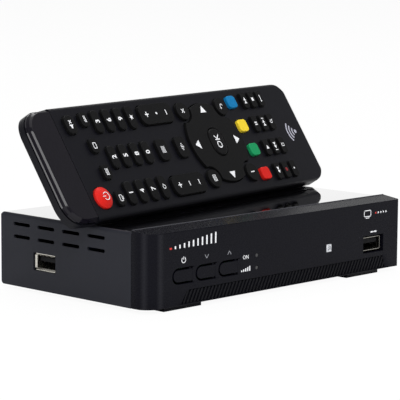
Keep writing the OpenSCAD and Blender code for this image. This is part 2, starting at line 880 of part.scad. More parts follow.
module aerial_out_socket() {
    length = rear_y + aerial_len - aerial_base_y;
    color("#c9ccd0") {
        difference() {
            rod_y(aerial_out_x, aerial_base_y, socket_z, aerial_out_r, length);
            rod_y(aerial_out_x, aerial_base_y + aerial_floor, socket_z, aerial_out_r - aerial_wall, length);
        }
        rod_y(aerial_out_x, aerial_base_y, socket_z, aerial_pin_r, length - aerial_pin_back);
    }
}

module phono_sleeves() {
    length = rear_y + phono_len - aerial_base_y;
    color("#c9ccd0") for (i = [0:phono_count - 1]) difference() {
        rod_y(phono_x0 + i * phono_pitch, aerial_base_y, socket_z, phono_r, length);
        rod_y(phono_x0 + i * phono_pitch, aerial_base_y + phono_floor, socket_z, phono_bore_r, length);
    }
}

module phono_block() {
    color("#18181a") slab(phono_x0 - phono_edge, phono_x1 + phono_edge,
        board_rear - phono_d, board_rear, board_top, socket_z + phono_edge);
}

module video_socket() {
    w = video_w / 2;
    t = socket_sheet;
    y0 = rear_y - video_d;
    z = board_top + video_tongue_z;
    color("#b9bcc2") difference() {
        slab(video_x - w, video_x + w, y0, rear_y, board_top, board_top + video_h);
        difference() {
            slab(video_x - w + t, video_x + w - t, y0 + video_floor, rear_y + cut,
                board_top + t, board_top + video_h - t);
            slab(video_x - w + video_tongue_side, video_x + w - video_tongue_side,
                y0, rear_y - video_tongue_back, z, z + video_tongue_t);
        }
    }
}

module lan_socket() {
    w = lan_w / 2;
    m = lan_mouth_w / 2;
    n = lan_latch_w / 2;
    y0 = rear_y - lan_mouth_d;
    color("#aeb1b6") difference() {
        slab(lan_x - w, lan_x + w, rear_y - lan_d, rear_y, board_top, board_top + lan_h);
        slab(lan_x - m, lan_x + m, y0, rear_y + cut,
            board_top + lan_mouth_low, board_top + lan_h - lan_mouth_top);
        slab(lan_x - n, lan_x + n, y0, rear_y + cut,
            board_top + lan_latch_low, board_top + lan_h - lan_latch_top);
    }
}

module dc_jack() {
    w = dc_w / 2;
    color("#18181a") {
        difference() {
            union() {
                slab(dc_x - w, dc_x + w, board_rear - dc_d, board_rear, board_top, dc_z + dc_top);
                rod_y(dc_x, board_rear - dc_floor, dc_z, dc_bore_r + dc_wall, rear_y - board_rear + dc_floor);
            }
            rod_y(dc_x, rear_y - dc_deep, dc_z, dc_bore_r, dc_deep + cut);
        }
        rod_y(dc_x, rear_y - dc_deep - dc_floor, dc_z, dc_pin_r, dc_deep);
    }
}

module at_front_usb() {
    translate([front_usb_x, front_y + usb_recess, usb_z]) children();
}

module at_side_usb() {
    translate([-half_w + usb_recess, side_usb_y, usb_z]) rotate([0, 0, -90]) children();
}

module usb_shell() {
    difference() {
        slab(-usb_w / 2, usb_w / 2, 0, usb_d, -usb_h / 2, usb_h / 2);
        slab(-usb_w / 2 + usb_t, usb_w / 2 - usb_t, -cut, usb_d - usb_t,
            -usb_h / 2 + usb_t, usb_h / 2 - usb_t);
    }
}

module usb_tongue() {
    w = usb_w / 2 - usb_t - fit_gap;
    h = usb_h / 2 - usb_t - fit_gap;
    slab(-w, w, usb_d - usb_block_d, usb_d - usb_t, -h, h);
    slab(-w + usb_tongue_side, w - usb_tongue_side, usb_tongue_set, usb_d - usb_block_d + cut,
        usb_tongue_z, usb_tongue_z + usb_tongue_t);
}

module usb_shells() {
    color("#d3d2cb") {
        at_front_usb() usb_shell();
        at_side_usb() usb_shell();
    }
}

module usb_tongues() {
    color("#1a1a1a") {
        at_front_usb() usb_tongue();
        at_side_usb() usb_tongue();
    }
}

module capacitors() {
    color("#23314d") for (p = capacitor_places)
        translate([p[0], p[1], board_top]) cylinder(r = capacitor_r, h = capacitor_h);
}

module ribbon_cable() {
    x0 = ribbon_x - ribbon_w / 2;
    x1 = ribbon_x + ribbon_w / 2;
    y0 = front_board_back;
    y1 = board_front + ribbon_rise;
    z1 = board_top + ribbon_rise;
    h = ribbon_t / 2;
    color("#b8b8b4") {
        slab(x0, x1, y0, y0 + plug_t, z1 - plug_t, z1 + plug_t);
        slab(x0, x1, y1 - plug_t, y1 + plug_t, board_top, board_top + 2 * plug_t);
        slab(x0 + ribbon_edge, x1 - ribbon_edge, y0 + ribbon_edge, y1 + h, z1 - h, z1 + h);
        slab(x0 + ribbon_edge, x1 - ribbon_edge, y1 - h, y1 + h, board_top + ribbon_edge, z1 + h);
    }
}

// Remote, drawn lying on its back: x runs back from the tail, y across the face, z out of the face

module on_lid() {
    translate([half_w + remote_overhang, remote_tail_y, remote_z])
        rotate([0, 0, remote_yaw]) rotate([90 - remote_lean, 0, 0]) children();
}

// Place of a key: distance from the window's seam, which follows the remote's length,
// and offset from the middle of the face
module at_key(row, off) {
    translate([-remote_len + window_len + key_scale * row, remote_mid + off, 0]) children();
}

// A key or its hole in plan: its length follows the remote's length
module key_plan(length, width, r, grow) {
    rounded_rect(key_scale * length + 2 * grow, width + 2 * grow, r + grow);
}

// What the rounding of the face's edge takes away, on the side given by the sign
module edge_cut(side) {
    e = remote_edge_r;
    difference() {
        translate([side < 0 ? -e : -cut, -e]) square(e + cut);
        translate([side * e, -e]) circle(e);
    }
}

module remote_section() {
    w = remote_w;
    s = flank_u(remote_t);
    difference() {
        polygon([[0, 0], [w, 0], [w, -remote_band], [w - s, -remote_t], [s, -remote_t], [0, -remote_band]]);
        edge_cut(1);
        translate([w, 0]) edge_cut(-1);
    }
}

module remote_inner_section() {
    c = remote_wall;
    w = remote_w;
    va = remote_band - c * (1 - cos(remote_lean)) / sin(remote_lean);
    vb = remote_t - remote_back;
    s = inner_u(vb);
    polygon([[c, -c], [w - c, -c], [w - c, -va], [w - s, -vb], [s, -vb], [c, -va]]);
}

module remote_plan(inset) {
    translate([-remote_len / 2, remote_mid, -remote_t - cut]) linear_extrude(remote_t + 2 * cut)
        rounded_rect(remote_len - 2 * inset, remote_w - 2 * inset, remote_corner_r - inset);
}

// Side view: full thickness over the cells, thinning towards the window's end
module remote_profile() {
    difference() {
        polygon([[-remote_len, 0], [0, 0], [0, -remote_t], [-thin_start, -remote_t], [-remote_len, -end_t]]);
        edge_cut(-1);
    }
}

module remote_inner_profile() {
    c = remote_wall;
    slope = (remote_t - end_t) / (remote_len - thin_start);
    polygon([[-remote_len + c, -c], [-c, -c], [-c, -remote_t], [-thin_start, -remote_t],
        [-thin_start, -remote_t + thin_wall], [-remote_len + c, -end_t + thin_wall - c * slope]]);
}

module remote_body() {
    intersection() {
        sideways(-remote_len, remote_len) remote_section();
        remote_plan(0);
        upright(-cut, remote_w + 2 * cut) remote_profile();
    }
}

module remote_cavity() {
    intersection() {
        sideways(-remote_len, remote_len) remote_inner_section();
        remote_plan(remote_wall);
        upright(-cut, remote_w + 2 * cut) remote_inner_profile();
    }
}

module across(x0, x1, v0, v1) {
    slab(x0, x1, -cut, remote_w + cut, -v1, -v0);
}

module digit_shape(grow) {
    key_plan(digit_len, digit_wid, key_corner_r, grow);
}

module rocker_shape(grow) {
    key_plan(rocker_len, rocker_wid, rocker_corner_r, grow);
}

module ok_shape(grow) {
    key_plan(ok_len, ok_wid, ok_l / 2 - ok_corner, grow);
}

module colour_shape(grow) {
    key_plan(colour_key_len, colour_key_wid, colour_corner_r, grow);
}

module mute_shape(grow) {
    key_plan(mute_key_len, mute_key_wid, soft_corner_r, grow);
}

module media_shape(grow) {
    key_plan(media_len, media_wid, media_corner_r, grow);
}

module ring_shape(grow) {
    difference() {
        circle(ring_radius + grow, $fn = 96);
        for (sx = [-1, 1], sy = [-1, 1])
            translate([sx * corner_reach, sy * digit_off]) circle(corner_cut_r - grow);
    }
}

digit_places = [for (n = [0:9]) n == 0 ? [3, 0] : [floor((n - 1) / 3), (n - 1) % 3 - 1]];

function digit_row_of(n) = digit_row + digit_places[n][0] * digit_pitch;
function digit_off_of(n) = digit_places[n][1] * digit_off;

// Keys that belong to the one-piece silicone keypad
module small_keys(grow) {
    for (i = [0:3]) at_key(upper_row - (i == 1 || i == 2 ? upper_key_shift : 0), edge_offs[i])
        linear_extrude(key_rise + mat_v) key_plan(upper_key_len, upper_key_wid, key_corner_r, grow);
    for (s = [-1, 1]) at_key(digit_row_of(0), s * digit_off)
        linear_extrude(key_rise + mat_v) digit_shape(grow);
    for (s = [-1, 1]) at_key(rocker_row + s * middle_key_reach, 0)
        linear_extrude(key_rise + mat_v) key_plan(middle_key_len, middle_key_wid, soft_corner_r, grow);
    for (sx = [-1, 1], sy = [-1, 1]) at_key(ring_row + sx * corner_key_reach, sy * digit_off)
        cylinder(r = corner_r + grow, h = key_rise + mat_v);
    for (row = [0:2], off = edge_offs) at_key(media_row + row * media_pitch, off)
        linear_extrude(key_rise + mat_v) media_shape(grow);
}

module key_holes() {
    deep = remote_wall + 2 * cut;
    translate([0, 0, -remote_wall - cut]) {
        small_keys(key_gap);
        at_key(power_row, -digit_off) cylinder(r = power_key_r + key_gap, h = deep);
        at_key(power_row, digit_off) linear_extrude(deep) mute_shape(key_gap);
        for (n = [0:9]) at_key(digit_row_of(n), digit_off_of(n)) linear_extrude(deep) digit_shape(key_gap);
        for (s = [-1, 1]) at_key(rocker_row, s * rocker_off)
            linear_extrude(deep) rocker_shape(key_gap + tilt_gap);
        at_key(ring_row, 0) linear_extrude(deep) ring_shape(key_gap + tilt_gap);
        for (off = edge_offs) at_key(colour_row, off) linear_extrude(deep) colour_shape(key_gap);
    }
}

module remote_upper_case() {
    color("#26272b") on_lid() difference() {
        remote_body();
        remote_cavity();
        across(-remote_len - cut, -remote_len + window_len + fit_gap, -cut, remote_t + cut);
        across(-remote_len - cut, cut, remote_split, remote_t + cut);
        key_holes();
    }
}

// Window end of the case: flat facets run round its face, as cones at the two corners
module window_body() {
    e = remote_edge_r;
    r = remote_corner_r;
    w = remote_w;
    end = -remote_len;
    difference() {
        intersection() {
            sideways(end, window_len) polygon([[0, -remote_split], [0, -e], [e, 0], [w - e, 0], [w, -e],
                [w, -remote_split]]);
            upright(-cut, w + 2 * cut) polygon([[end, -remote_split], [end, -e], [end + e, 0],
                [end + window_len, 0], [end + window_len, -remote_split]]);
            remote_plan(0);
        }
        for (u = [0, w - r]) difference() {
            slab(end - cut, end + r, u, u + r, -e, cut);
            translate([end + r, u == 0 ? r : u, -e]) cylinder(r1 = r, r2 = r - e, h = e);
        }
    }
}

module remote_ir_window() {
    color("#1b1820") on_lid() difference() {
        window_body();
        remote_cavity();
    }
}

module cover_outline(grow) {
    w = cover_w / 2 + grow;
    translate([remote_mid, 0]) polygon([
        [-w, -remote_t - grow], [w, -remote_t - grow],
        [w + cover_dovetail, -remote_t + cover_t + grow], [-w - cover_dovetail, -remote_t + cover_t + grow]
    ]);
}

module remote_lower_case() {
    bay0 = -cell_tail - cell_len - bay_gap;
    bay1 = -cell_tail + bay_gap;
    u0 = remote_mid - bay_w / 2;
    u1 = remote_mid + bay_w / 2;
    color("#232428") on_lid() difference() {
        union() {
            difference() {
                remote_body();
                remote_cavity();
                across(-remote_len - cut, cut, -cut, remote_split + fit_gap);
                difference() {
                    across(-remote_len - cut, cut, remote_split, remote_split + groove_w);
                    remote_plan(groove_d);
                }
            }
            for (x = [bay0 - bay_wall, bay1])
                slab(x, x + bay_wall, u0, u1, -remote_t + remote_back - bay_sink, -cell_v + bay_high);
        }
        sideways(-cover_len - cover_gap, cover_len + cover_gap + cut) cover_outline(cover_gap);
        slab(bay0, bay1, u0, u1, -remote_t - cut, -remote_t + remote_back + cut);
    }
}

module remote_battery_cover() {
    color("#232428") on_lid() sideways(-cover_len, cover_len) cover_outline(0);
}

module remote_board() {
    v1 = remote_board_v + remote_board_t;
    u = inner_u(v1) + remote_board_side;
    color("#2f6b3c") on_lid()
        slab(-remote_len + window_len + remote_board_end, -remote_board_tail, u, remote_w - u,
            -v1, -remote_board_v);
}

module remote_keypad() {
    u = remote_wall + mat_side;
    color("#151518") on_lid() {
        slab(-remote_len + window_len + mat_end, -mat_tail, u, remote_w - u, -mat_v - mat_t, -mat_v);
        translate([0, 0, -mat_v]) small_keys(0);
    }
}

module remote_ir_led() {
    x = -remote_len + window_len - remote_led_reach;
    v = remote_wall + remote_led_drop + remote_led_r;
    color("#6d5f86") on_lid() translate([x, remote_mid, -v]) rotate([0, 90, 0]) {
        cylinder(r = remote_led_r, h = remote_led_len);
        sphere(remote_led_r);
    }
}

module remote_cells() {
    color("#d0b13c") on_lid() for (s = [-1, 1])
        translate([-cell_tail - cell_len, remote_mid + s * (cell_r + cell_gap), -cell_v]) rotate([0, 90, 0]) {
            cylinder(r = cell_r, h = cell_len - cell_tip);
            cylinder(r = cell_tip_r, h = cell_len);
        }
}

module remote_contacts() {
    x0 = -cell_tail - cell_len - cell_gap - contact_t;
    x1 = -cell_tail + cell_gap;
    color("#c9ccd0") on_lid() for (s = [-1, 1], x = [x0, x1]) {
        u = remote_mid + s * (cell_r + cell_gap);
        slab(x, x + contact_t, u - contact_w / 2, u + contact_w / 2,
            -cell_v - contact_low, -cell_v + contact_high);
    }
}

// A key that slides straight into the face, with a lip that keeps it in the case
module sliding_key(row, off, tint) {
    color(tint) on_lid() at_key(row, off) {
        translate([0, 0, -key_depth]) linear_extrude(key_depth + key_rise) children(0);
        translate([0, 0, -key_depth]) linear_extrude(key_lip_t) children(1);
    }
}

module digit_key(n) {
    sliding_key(digit_row_of(n), digit_off_of(n), "#151518") {
        digit_shape(0);
        digit_shape(key_lip);
    }
}

module colour_key(i, tint) {
    sliding_key(colour_row, edge_offs[i], tint) {
        colour_shape(0);
        colour_shape(key_lip);
    }
}

// A key that tips about a bead across its underside
module rocker_key(side) {
    color("#151518") on_lid() at_key(rocker_row, side * rocker_off) {
        translate([0, 0, -key_depth]) linear_extrude(key_depth + key_rise) rocker_shape(0);
        translate([0, -rocker_wid / 2 + rocker_bead_inset, -rocker_axis_v]) rotate([-90, 0, 0])
            cylinder(r = rocker_bead_r, h = rocker_wid - 2 * rocker_bead_inset);
    }
}

module remote_power_key() {
    color("#d8261f") on_lid() at_key(power_row, -digit_off) {
        intersection() {
            translate([0, 0, -key_depth]) cylinder(r = power_key_r, h = key_depth + key_rise + dome_r);
            translate([0, 0, key_rise + dome_rise - dome_r]) sphere(dome_r, $fn = 96);
        }
        translate([0, 0, -key_depth]) cylinder(r = power_key_r + key_lip, h = key_lip_t);
    }
}

module remote_mute_key() {
    sliding_key(power_row, digit_off, "#151518") {
        mute_shape(0);
        mute_shape(key_lip);
    }
}

module remote_key_0() {
    digit_key(0);
}

module remote_key_1() {
    digit_key(1);
}

module remote_key_2() {
    digit_key(2);
}

module remote_key_3() {
    digit_key(3);
}

module remote_key_4() {
    digit_key(4);
}

module remote_key_5() {
    digit_key(5);
}

module remote_key_6() {
    digit_key(6);
}

module remote_key_7() {
    digit_key(7);
}

module remote_key_8() {
    digit_key(8);
}

module remote_key_9() {
    digit_key(9);
}

module remote_volume_key() {
    rocker_key(-1);
}

module remote_channel_key() {
    rocker_key(1);
}

module remote_navigation_ring() {
    color("#1a1a1d") on_lid() at_key(ring_row, 0) {
        translate([0, 0, -key_depth]) linear_extrude(key_depth + key_rise - ring_drop) difference() {
            ring_shape(0);
            ok_shape(ok_gap);
        }
        for (s = [-1, 1])
            translate([0, (s * (ring_radius + ok_wid / 2) - ring_bead_len) / 2, -rocker_axis_v])
                rotate([-90, 0, 0]) cylinder(r = rocker_bead_r, h = ring_bead_len);
    }
}

module remote_ok_key() {
    color("#151518") on_lid() at_key(ring_row, 0)
        translate([0, 0, -key_depth]) linear_extrude(key_depth + key_rise + ok_rise) ok_shape(0);
}

module remote_red_key() {
    colour_key(0, "#e2332b");
}

module remote_green_key() {
    colour_key(1, "#1f9a58");
}

module remote_yellow_key() {
    colour_key(2, "#ecd43c");
}

module remote_blue_key() {
    colour_key(3, "#1f82cf");
}

base_tray();
top_cover();
front_panel();
rib_strip();
power_button();
down_button();
up_button();
ir_lens();
status_leds();
front_board();
tact_switches();
ir_receiver();
main_board();
main_chip();
heat_sink();
tuner_can();
aerial_in_socket();
aerial_out_socket();
phono_sleeves();
phono_block();
video_socket();
lan_socket();
dc_jack();
usb_shells();
usb_tongues();
capacitors();
ribbon_cable();
rear_feet();
case_screws();
remote_upper_case();
remote_lower_case();
remote_battery_cover();
remote_ir_window();
remote_ir_led();
remote_board();
remote_keypad();
remote_cells();
remote_contacts();
remote_power_key();
remote_mute_key();
remote_key_0();
remote_key_1();
remote_key_2();
remote_key_3();
remote_key_4();
remote_key_5();
remote_key_6();
remote_key_7();
remote_key_8();
remote_key_9();
remote_volume_key();
remote_channel_key();
remote_navigation_ring();
remote_ok_key();
remote_red_key();
remote_green_key();
remote_yellow_key();
remote_blue_key();
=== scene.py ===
"""Television decoder with its remote control: finishes, prints and a plain studio round the model."""

import json
import math

import bmesh
import bpy
from bpy.props import FloatProperty, FloatVectorProperty, PointerProperty
from bpy.types import Operator, Panel, PropertyGroup
from mathutils import Matrix, Vector


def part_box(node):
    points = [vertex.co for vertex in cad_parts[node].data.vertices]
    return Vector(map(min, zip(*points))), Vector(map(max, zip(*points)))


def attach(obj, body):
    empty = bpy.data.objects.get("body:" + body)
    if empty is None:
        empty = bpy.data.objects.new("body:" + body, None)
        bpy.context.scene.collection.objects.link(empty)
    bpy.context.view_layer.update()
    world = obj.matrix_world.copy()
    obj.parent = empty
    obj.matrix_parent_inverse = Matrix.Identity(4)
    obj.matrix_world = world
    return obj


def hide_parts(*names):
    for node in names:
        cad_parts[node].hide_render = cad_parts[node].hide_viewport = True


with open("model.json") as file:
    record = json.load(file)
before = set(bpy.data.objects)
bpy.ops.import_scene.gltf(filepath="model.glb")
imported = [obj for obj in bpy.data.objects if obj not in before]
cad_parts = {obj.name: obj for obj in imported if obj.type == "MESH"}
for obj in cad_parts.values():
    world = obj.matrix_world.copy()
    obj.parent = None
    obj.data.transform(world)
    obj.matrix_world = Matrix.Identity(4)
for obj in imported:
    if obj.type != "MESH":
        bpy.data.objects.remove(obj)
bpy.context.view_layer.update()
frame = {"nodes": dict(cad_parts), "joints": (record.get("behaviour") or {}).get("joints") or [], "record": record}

bl_info = {
    "name": "Television Decoder",
    "version": (1, 0, 0),
    "blender": (4, 5, 0),
    "location": "3D View > Sidebar > Decoder",
    "description": "Dresses a television decoder and its remote control",
    "category": "Object",
}

MM = 0.001
NODES = frame["nodes"]
JOINTS = {joint["name"]: joint for joint in frame["joints"]}
BODIES = frame["record"]["behaviour"]["bodies"]
BODY_OF = {node: body for body, members in BODIES.items() for node in members}

# The remote's own axes: along it to the tail, up its face, and straight out of its face
ALONG = Vector(JOINTS["battery_cover_slide"]["axis"]).normalized()
OUT = -Vector(JOINTS["ok_key_press"]["axis"]).normalized()
UP_FACE = OUT.cross(ALONG)
REMOTE_AXES = Matrix((ALONG, UP_FACE, OUT))

# A print on the front panel reads along +X and up +Z; one on the remote reads up its face
FRONT_TURN = Matrix(((1, 0, 0), (0, 0, -1), (0, 1, 0))).to_4x4()
REMOTE_TURN = Matrix((UP_FACE, -ALONG, OUT)).transposed().to_4x4()

# Points nearer than this are one point, in a node's copy and in a print
WELD = 0.002 * MM
PRINT_WELD = 0.0005 * MM
# Points this near a plane lie in it
IN_PLANE = 0.01 * MM
# Faces that turn less than this are one flat face; edges that turn more are shaded sharp, then rounded
FLAT_TURN = math.radians(0.5)
SHADED_TURN = math.radians(25)
ROUNDED_TURN = math.radians(35)
# A key's top lies within this depth of the highest one, and tops within this step stand in one row
TOP_DEPTH = 0.05 * MM
ROW_STEP = 0.5 * MM
# How far a print stands out of its surface, and a capital's height as a share of its font's size
PRINT_RISE = 0.03 * MM
CAPITAL_SHARE = 0.7
# A mix node's two colour inputs and its colour output, whose names its other sockets share
COLOUR_A, COLOUR_B, MIXED = 6, 7, 2


# Colours and shader nodes


def linear(hex_colour):
    """Linear RGB of an sRGB hex colour."""
    channels = [int(hex_colour[i:i + 2], 16) / 255 for i in (1, 3, 5)]
    return tuple(c / 12.92 if c <= 0.04045 else ((c + 0.055) / 1.055) ** 2.4 for c in channels)


def rgba(colour):
    """A shader colour with full alpha."""
    return (*colour, 1.0)


def per_metre(millimetres):
    """Texture scale at which one cell of a pattern has this size."""
    return 1 / (millimetres * MM)


def add_node(tree, kind, settings=None, inputs=None):
    """Adds a shader node, sets its options, and sets or links its inputs."""
    node = tree.nodes.new(kind)
    for name, value in (settings or {}).items():
        setattr(node, name, value)
    for name, value in (inputs or {}).items():
        if isinstance(value, bpy.types.NodeSocket):
            tree.links.new(value, node.inputs[name])
        else:
            node.inputs[name].default_value = value
    return node


def blank_material(name):
    """A new material with an empty node tree, and that tree."""
    material = bpy.data.materials.new(name)
    material.use_nodes = True
    material.node_tree.nodes.clear()
    return material, material.node_tree


def grained(tree, grain_mm, low, high, bump, detail=3.0):
    """Roughness that varies between two values, and a bumped normal, from one noise of that grain."""
    place = add_node(tree, "ShaderNodeTexCoord")
    noise = add_node(tree, "ShaderNodeTexNoise", inputs={
        "Vector": place.outputs["Object"], "Scale": per_metre(grain_mm), "Detail": detail})
    spread = add_node(tree, "ShaderNodeMapRange", inputs={
        "Value": noise.outputs["Fac"], "From Min": 0.3, "From Max": 0.7, "To Min": low, "To Max": high})
    relief = add_node(tree, "ShaderNodeBump", inputs={
        "Height": noise.outputs["Fac"], "Strength": bump, "Distance": grain_mm * MM * 0.2})
    return spread.outputs["Result"], relief.outputs["Normal"]


def mottled(tree, dark, light, size_mm):
    """A colour that drifts between two close shades over patches of the given size."""
    place = add_node(tree, "ShaderNodeTexCoord")
    noise = add_node(tree, "ShaderNodeTexNoise", inputs={
        "Vector": place.outputs["Object"], "Scale": per_metre(size_mm), "Detail": 2.0})
    mix = add_node(tree, "ShaderNodeMix", {"data_type": "RGBA"}, {
        "Factor": noise.outputs["Fac"], COLOUR_A: rgba(dark), COLOUR_B: rgba(light)})
    return mix.outputs[MIXED]


def shade(colour, amount):
    """The same colour made lighter or darker by a share."""
    return tuple(min(1.0, c * (1 + amount)) for c in colour)


def painted_corner_highlights(tree, base, highlight_colour):
    """A colour with two painted highlights: paler soft lines up the panel's left corner."""
    place = add_node(tree, "ShaderNodeTexCoord")
    point = add_node(tree, "ShaderNodeSeparateXYZ", inputs={"Vector": place.outputs["Object"]})
    # The run grows from the panel's face round the corner to its side
    run = add_node(tree, "ShaderNodeMath", {"operation": "SUBTRACT"}, {
        0: point.outputs["Y"], 1: point.outputs["X"]})
    share = add_node(tree, "ShaderNodeMapRange", inputs={
        "Value": run.outputs[0], "From Min": 24 * MM, "From Max": 44 * MM})
    # Two soft bands of painted highlight along that run
    lines = add_node(tree, "ShaderNodeValToRGB", inputs={"Fac": share.outputs["Result"]})
    for stop, level in ((0.13, 0), (0.245, 1), (0.36, 0), (0.6, 0), (0.73, 1), (0.86, 0)):
        lines.color_ramp.elements.new(stop).color = rgba((level,) * 3)
    lines.color_ramp.elements[-1].color = rgba((0, 0, 0))
    surface = add_node(tree, "ShaderNodeNewGeometry")
    lean = add_node(tree, "ShaderNodeSeparateXYZ", inputs={"Vector": surface.outputs["True Normal"]})
    upright = add_node(tree, "ShaderNodeMath", {"operation": "COMPARE"}, {
        0: lean.outputs["Z"], 1: 0.0, 2: 0.3})
    level = add_node(tree, "ShaderNodeMath", {"operation": "MULTIPLY"}, {
        0: lines.outputs["Color"], 1: upright.outputs[0]})
    mix = add_node(tree, "ShaderNodeMix", {"data_type": "RGBA"}, {
        "Factor": level.outputs[0], COLOUR_A: base, COLOUR_B: rgba(highlight_colour)})
    return mix.outputs[MIXED]


# Materials


def moulded_abs(name, colour, rough, relief=0.12, shine=0.08, corner=None):
    """ABS moulded in a spark-eroded tool: a fine even grain that spreads every highlight.

    The real grain is about 0.1 mm; it is drawn coarser here, so that it shows. A corner colour is for
    the front panel: it paints two highlights up its left corner, as paler lines in the base colour.
    """
    material, tree = blank_material(name)
    roughness, normal = grained(tree, 0.7, rough - 0.05, rough + 0.07, relief)
    base = mottled(tree, shade(colour, -0.08), shade(colour, 0.08), 9.0)
    # The corner colour paints highlights into the base colour
    if corner:
        base = painted_corner_highlights(tree, base, corner)
    shader = add_node(tree, "ShaderNodeBsdfPrincipled", inputs={
        "Base Color": base, "Roughness": roughness, "Normal": normal, "IOR": 1.53,
        "Specular IOR Level": shine})
    add_node(tree, "ShaderNodeOutputMaterial", inputs={"Surface": shader.outputs["BSDF"]})
    return material


def powder_coated_steel(name, colour):
    """Folded sheet steel under a fine powder coat: matte, with a faint orange-peel relief."""
    material, tree = blank_material(name)
    roughness, normal = grained(tree, 0.9, 0.44, 0.56, 0.1)
    shader = add_node(tree, "ShaderNodeBsdfPrincipled", inputs={
        "Base Color": mottled(tree, shade(colour, -0.06), shade(colour, 0.06), 14.0),
        "Roughness": roughness, "Normal": normal, "IOR": 1.5, "Specular IOR Level": 0.1})
    add_node(tree, "ShaderNodeOutputMaterial", inputs={"Surface": shader.outputs["BSDF"]})
    return material


def black_lacquer(name, colour):
    """Steel lid under clear black lacquer: nearly a mirror at a low angle, with a very slow ripple."""
    material, tree = blank_material(name)
    roughness, normal = grained(tree, 26.0, 0.03, 0.06, 0.012, 1.0)
    shader = add_node(tree, "ShaderNodeBsdfPrincipled", inputs={
        "Base Color": rgba(colour), "Roughness": roughness, "Normal": normal, "IOR": 1.6,
        "Specular IOR Level": 0.6, "Coat Weight": 1.0, "Coat Roughness": 0.03, "Coat IOR": 1.55})
    add_node(tree, "ShaderNodeOutputMaterial", inputs={"Surface": shader.outputs["BSDF"]})
    return material


def silicone_rubber(name, colour, rough=0.5):
    """Silicone rubber cast in a matte tool: soft broad highlights and a velvety bloom at the rim."""
    material, tree = blank_material(name)
    roughness, normal = grained(tree, 0.6, rough - 0.06, rough + 0.06, 0.08)
    shader = add_node(tree, "ShaderNodeBsdfPrincipled", inputs={
        "Base Color": mottled(tree, shade(colour, -0.06), shade(colour, 0.06), 3.0),
        "Roughness": roughness, "Normal": normal, "IOR": 1.41, "Specular IOR Level": 0.1,
        "Sheen Weight": 0.02, "Sheen Roughness": 0.5})
    add_node(tree, "ShaderNodeOutputMaterial", inputs={"Surface": shader.outputs["BSDF"]})
    return material


def printed_ink(name, colour):
    """Pad-printed ink: flat, opaque, a little uneven where the pad lifted."""
    material, tree = blank_material(name)
    roughness, normal = grained(tree, 0.5, 0.5, 0.62, 0.05)
    shader = add_node(tree, "ShaderNodeBsdfPrincipled", inputs={
        "Base Color": mottled(tree, shade(colour, -0.05), colour, 1.5),
        "Roughness": roughness, "Normal": normal, "Specular IOR Level": 0.2})
    add_node(tree, "ShaderNodeOutputMaterial", inputs={"Surface": shader.outputs["BSDF"]})
    return material


def infrared_acrylic(name, colour):
    """Infrared-pass acrylic: deep violet-black with a polished moulded skin."""
    material, tree = blank_material(name)
    roughness, normal = grained(tree, 12.0, 0.08, 0.14, 0.02, 1.0)
    shader = add_node(tree, "ShaderNodeBsdfPrincipled", inputs={
        "Base Color": mottled(tree, shade(colour, -0.1), shade(colour, 0.1), 12.0),
        "Roughness": roughness, "Normal": normal, "IOR": 1.49, "Specular IOR Level": 0.22})
    add_node(tree, "ShaderNodeOutputMaterial", inputs={"Surface": shader.outputs["BSDF"]})
    return material


def clear_resin(name, colour):
    """Clear resin, cast or moulded as a small lens: glossy and slightly milky."""
    material, tree = blank_material(name)
    roughness, normal = grained(tree, 1.5, 0.12, 0.22, 0.03)
    shader = add_node(tree, "ShaderNodeBsdfPrincipled", inputs={
        "Base Color": mottled(tree, shade(colour, -0.08), colour, 2.0),
        "Roughness": roughness, "Normal": normal, "IOR": 1.55})
    add_node(tree, "ShaderNodeOutputMaterial", inputs={"Surface": shader.outputs["BSDF"]})
    return material


def nickel_plate(name, colour, rough=0.24):
    """Nickel-plated sheet: bright metal with a slightly uneven gloss from the press."""
    material, tree = blank_material(name)
    roughness, normal = grained(tree, 0.8, rough - 0.06, rough + 0.08, 0.05)
    shader = add_node(tree, "ShaderNodeBsdfPrincipled", inputs={
        "Base Color": mottled(tree, shade(colour, -0.06), colour, 4.0),
        "Metallic": 1.0, "Roughness": roughness, "Normal": normal})
    add_node(tree, "ShaderNodeOutputMaterial", inputs={"Surface": shader.outputs["BSDF"]})
    return material


def zinc_sheet(name, colour):
    """Galvanised sheet: dull metal with the flat crystal patches of hot-dip zinc."""
    material, tree = blank_material(name)
    place = add_node(tree, "ShaderNodeTexCoord")
    crystals = add_node(tree, "ShaderNodeTexVoronoi", inputs={
        "Vector": place.outputs["Object"], "Scale": per_metre(7.0)})
    mix = add_node(tree, "ShaderNodeMix", {"data_type": "RGBA"}, {
        "Factor": crystals.outputs["Color"],
        COLOUR_A: rgba(shade(colour, -0.12)), COLOUR_B: rgba(colour)})
    roughness, normal = grained(tree, 0.8, 0.34, 0.48, 0.06)
    shader = add_node(tree, "ShaderNodeBsdfPrincipled", inputs={
        "Base Color": mix.outputs[MIXED], "Metallic": 1.0, "Roughness": roughness, "Normal": normal})
    add_node(tree, "ShaderNodeOutputMaterial", inputs={"Surface": shader.outputs["BSDF"]})
    return material


def solder_mask(name, colour):
    """Printed circuit board under solder mask: glossy green over a faint relief of copper lines."""
    material, tree = blank_material(name)
    place = add_node(tree, "ShaderNodeTexCoord")
    tracks = add_node(tree, "ShaderNodeTexBrick", inputs={
        "Vector": place.outputs["Object"], "Scale": per_metre(9.0), "Color1": rgba(colour),
        "Color2": rgba(shade(colour, 0.18)), "Mortar": rgba(shade(colour, 0.5)), "Mortar Size": 0.03})
    roughness, normal = grained(tree, 0.8, 0.28, 0.4, 0.05)
    shader = add_node(tree, "ShaderNodeBsdfPrincipled", inputs={
        "Base Color": tracks.outputs["Color"], "Roughness": roughness, "Normal": normal})
    add_node(tree, "ShaderNodeOutputMaterial", inputs={"Surface": shader.outputs["BSDF"]})
    return material


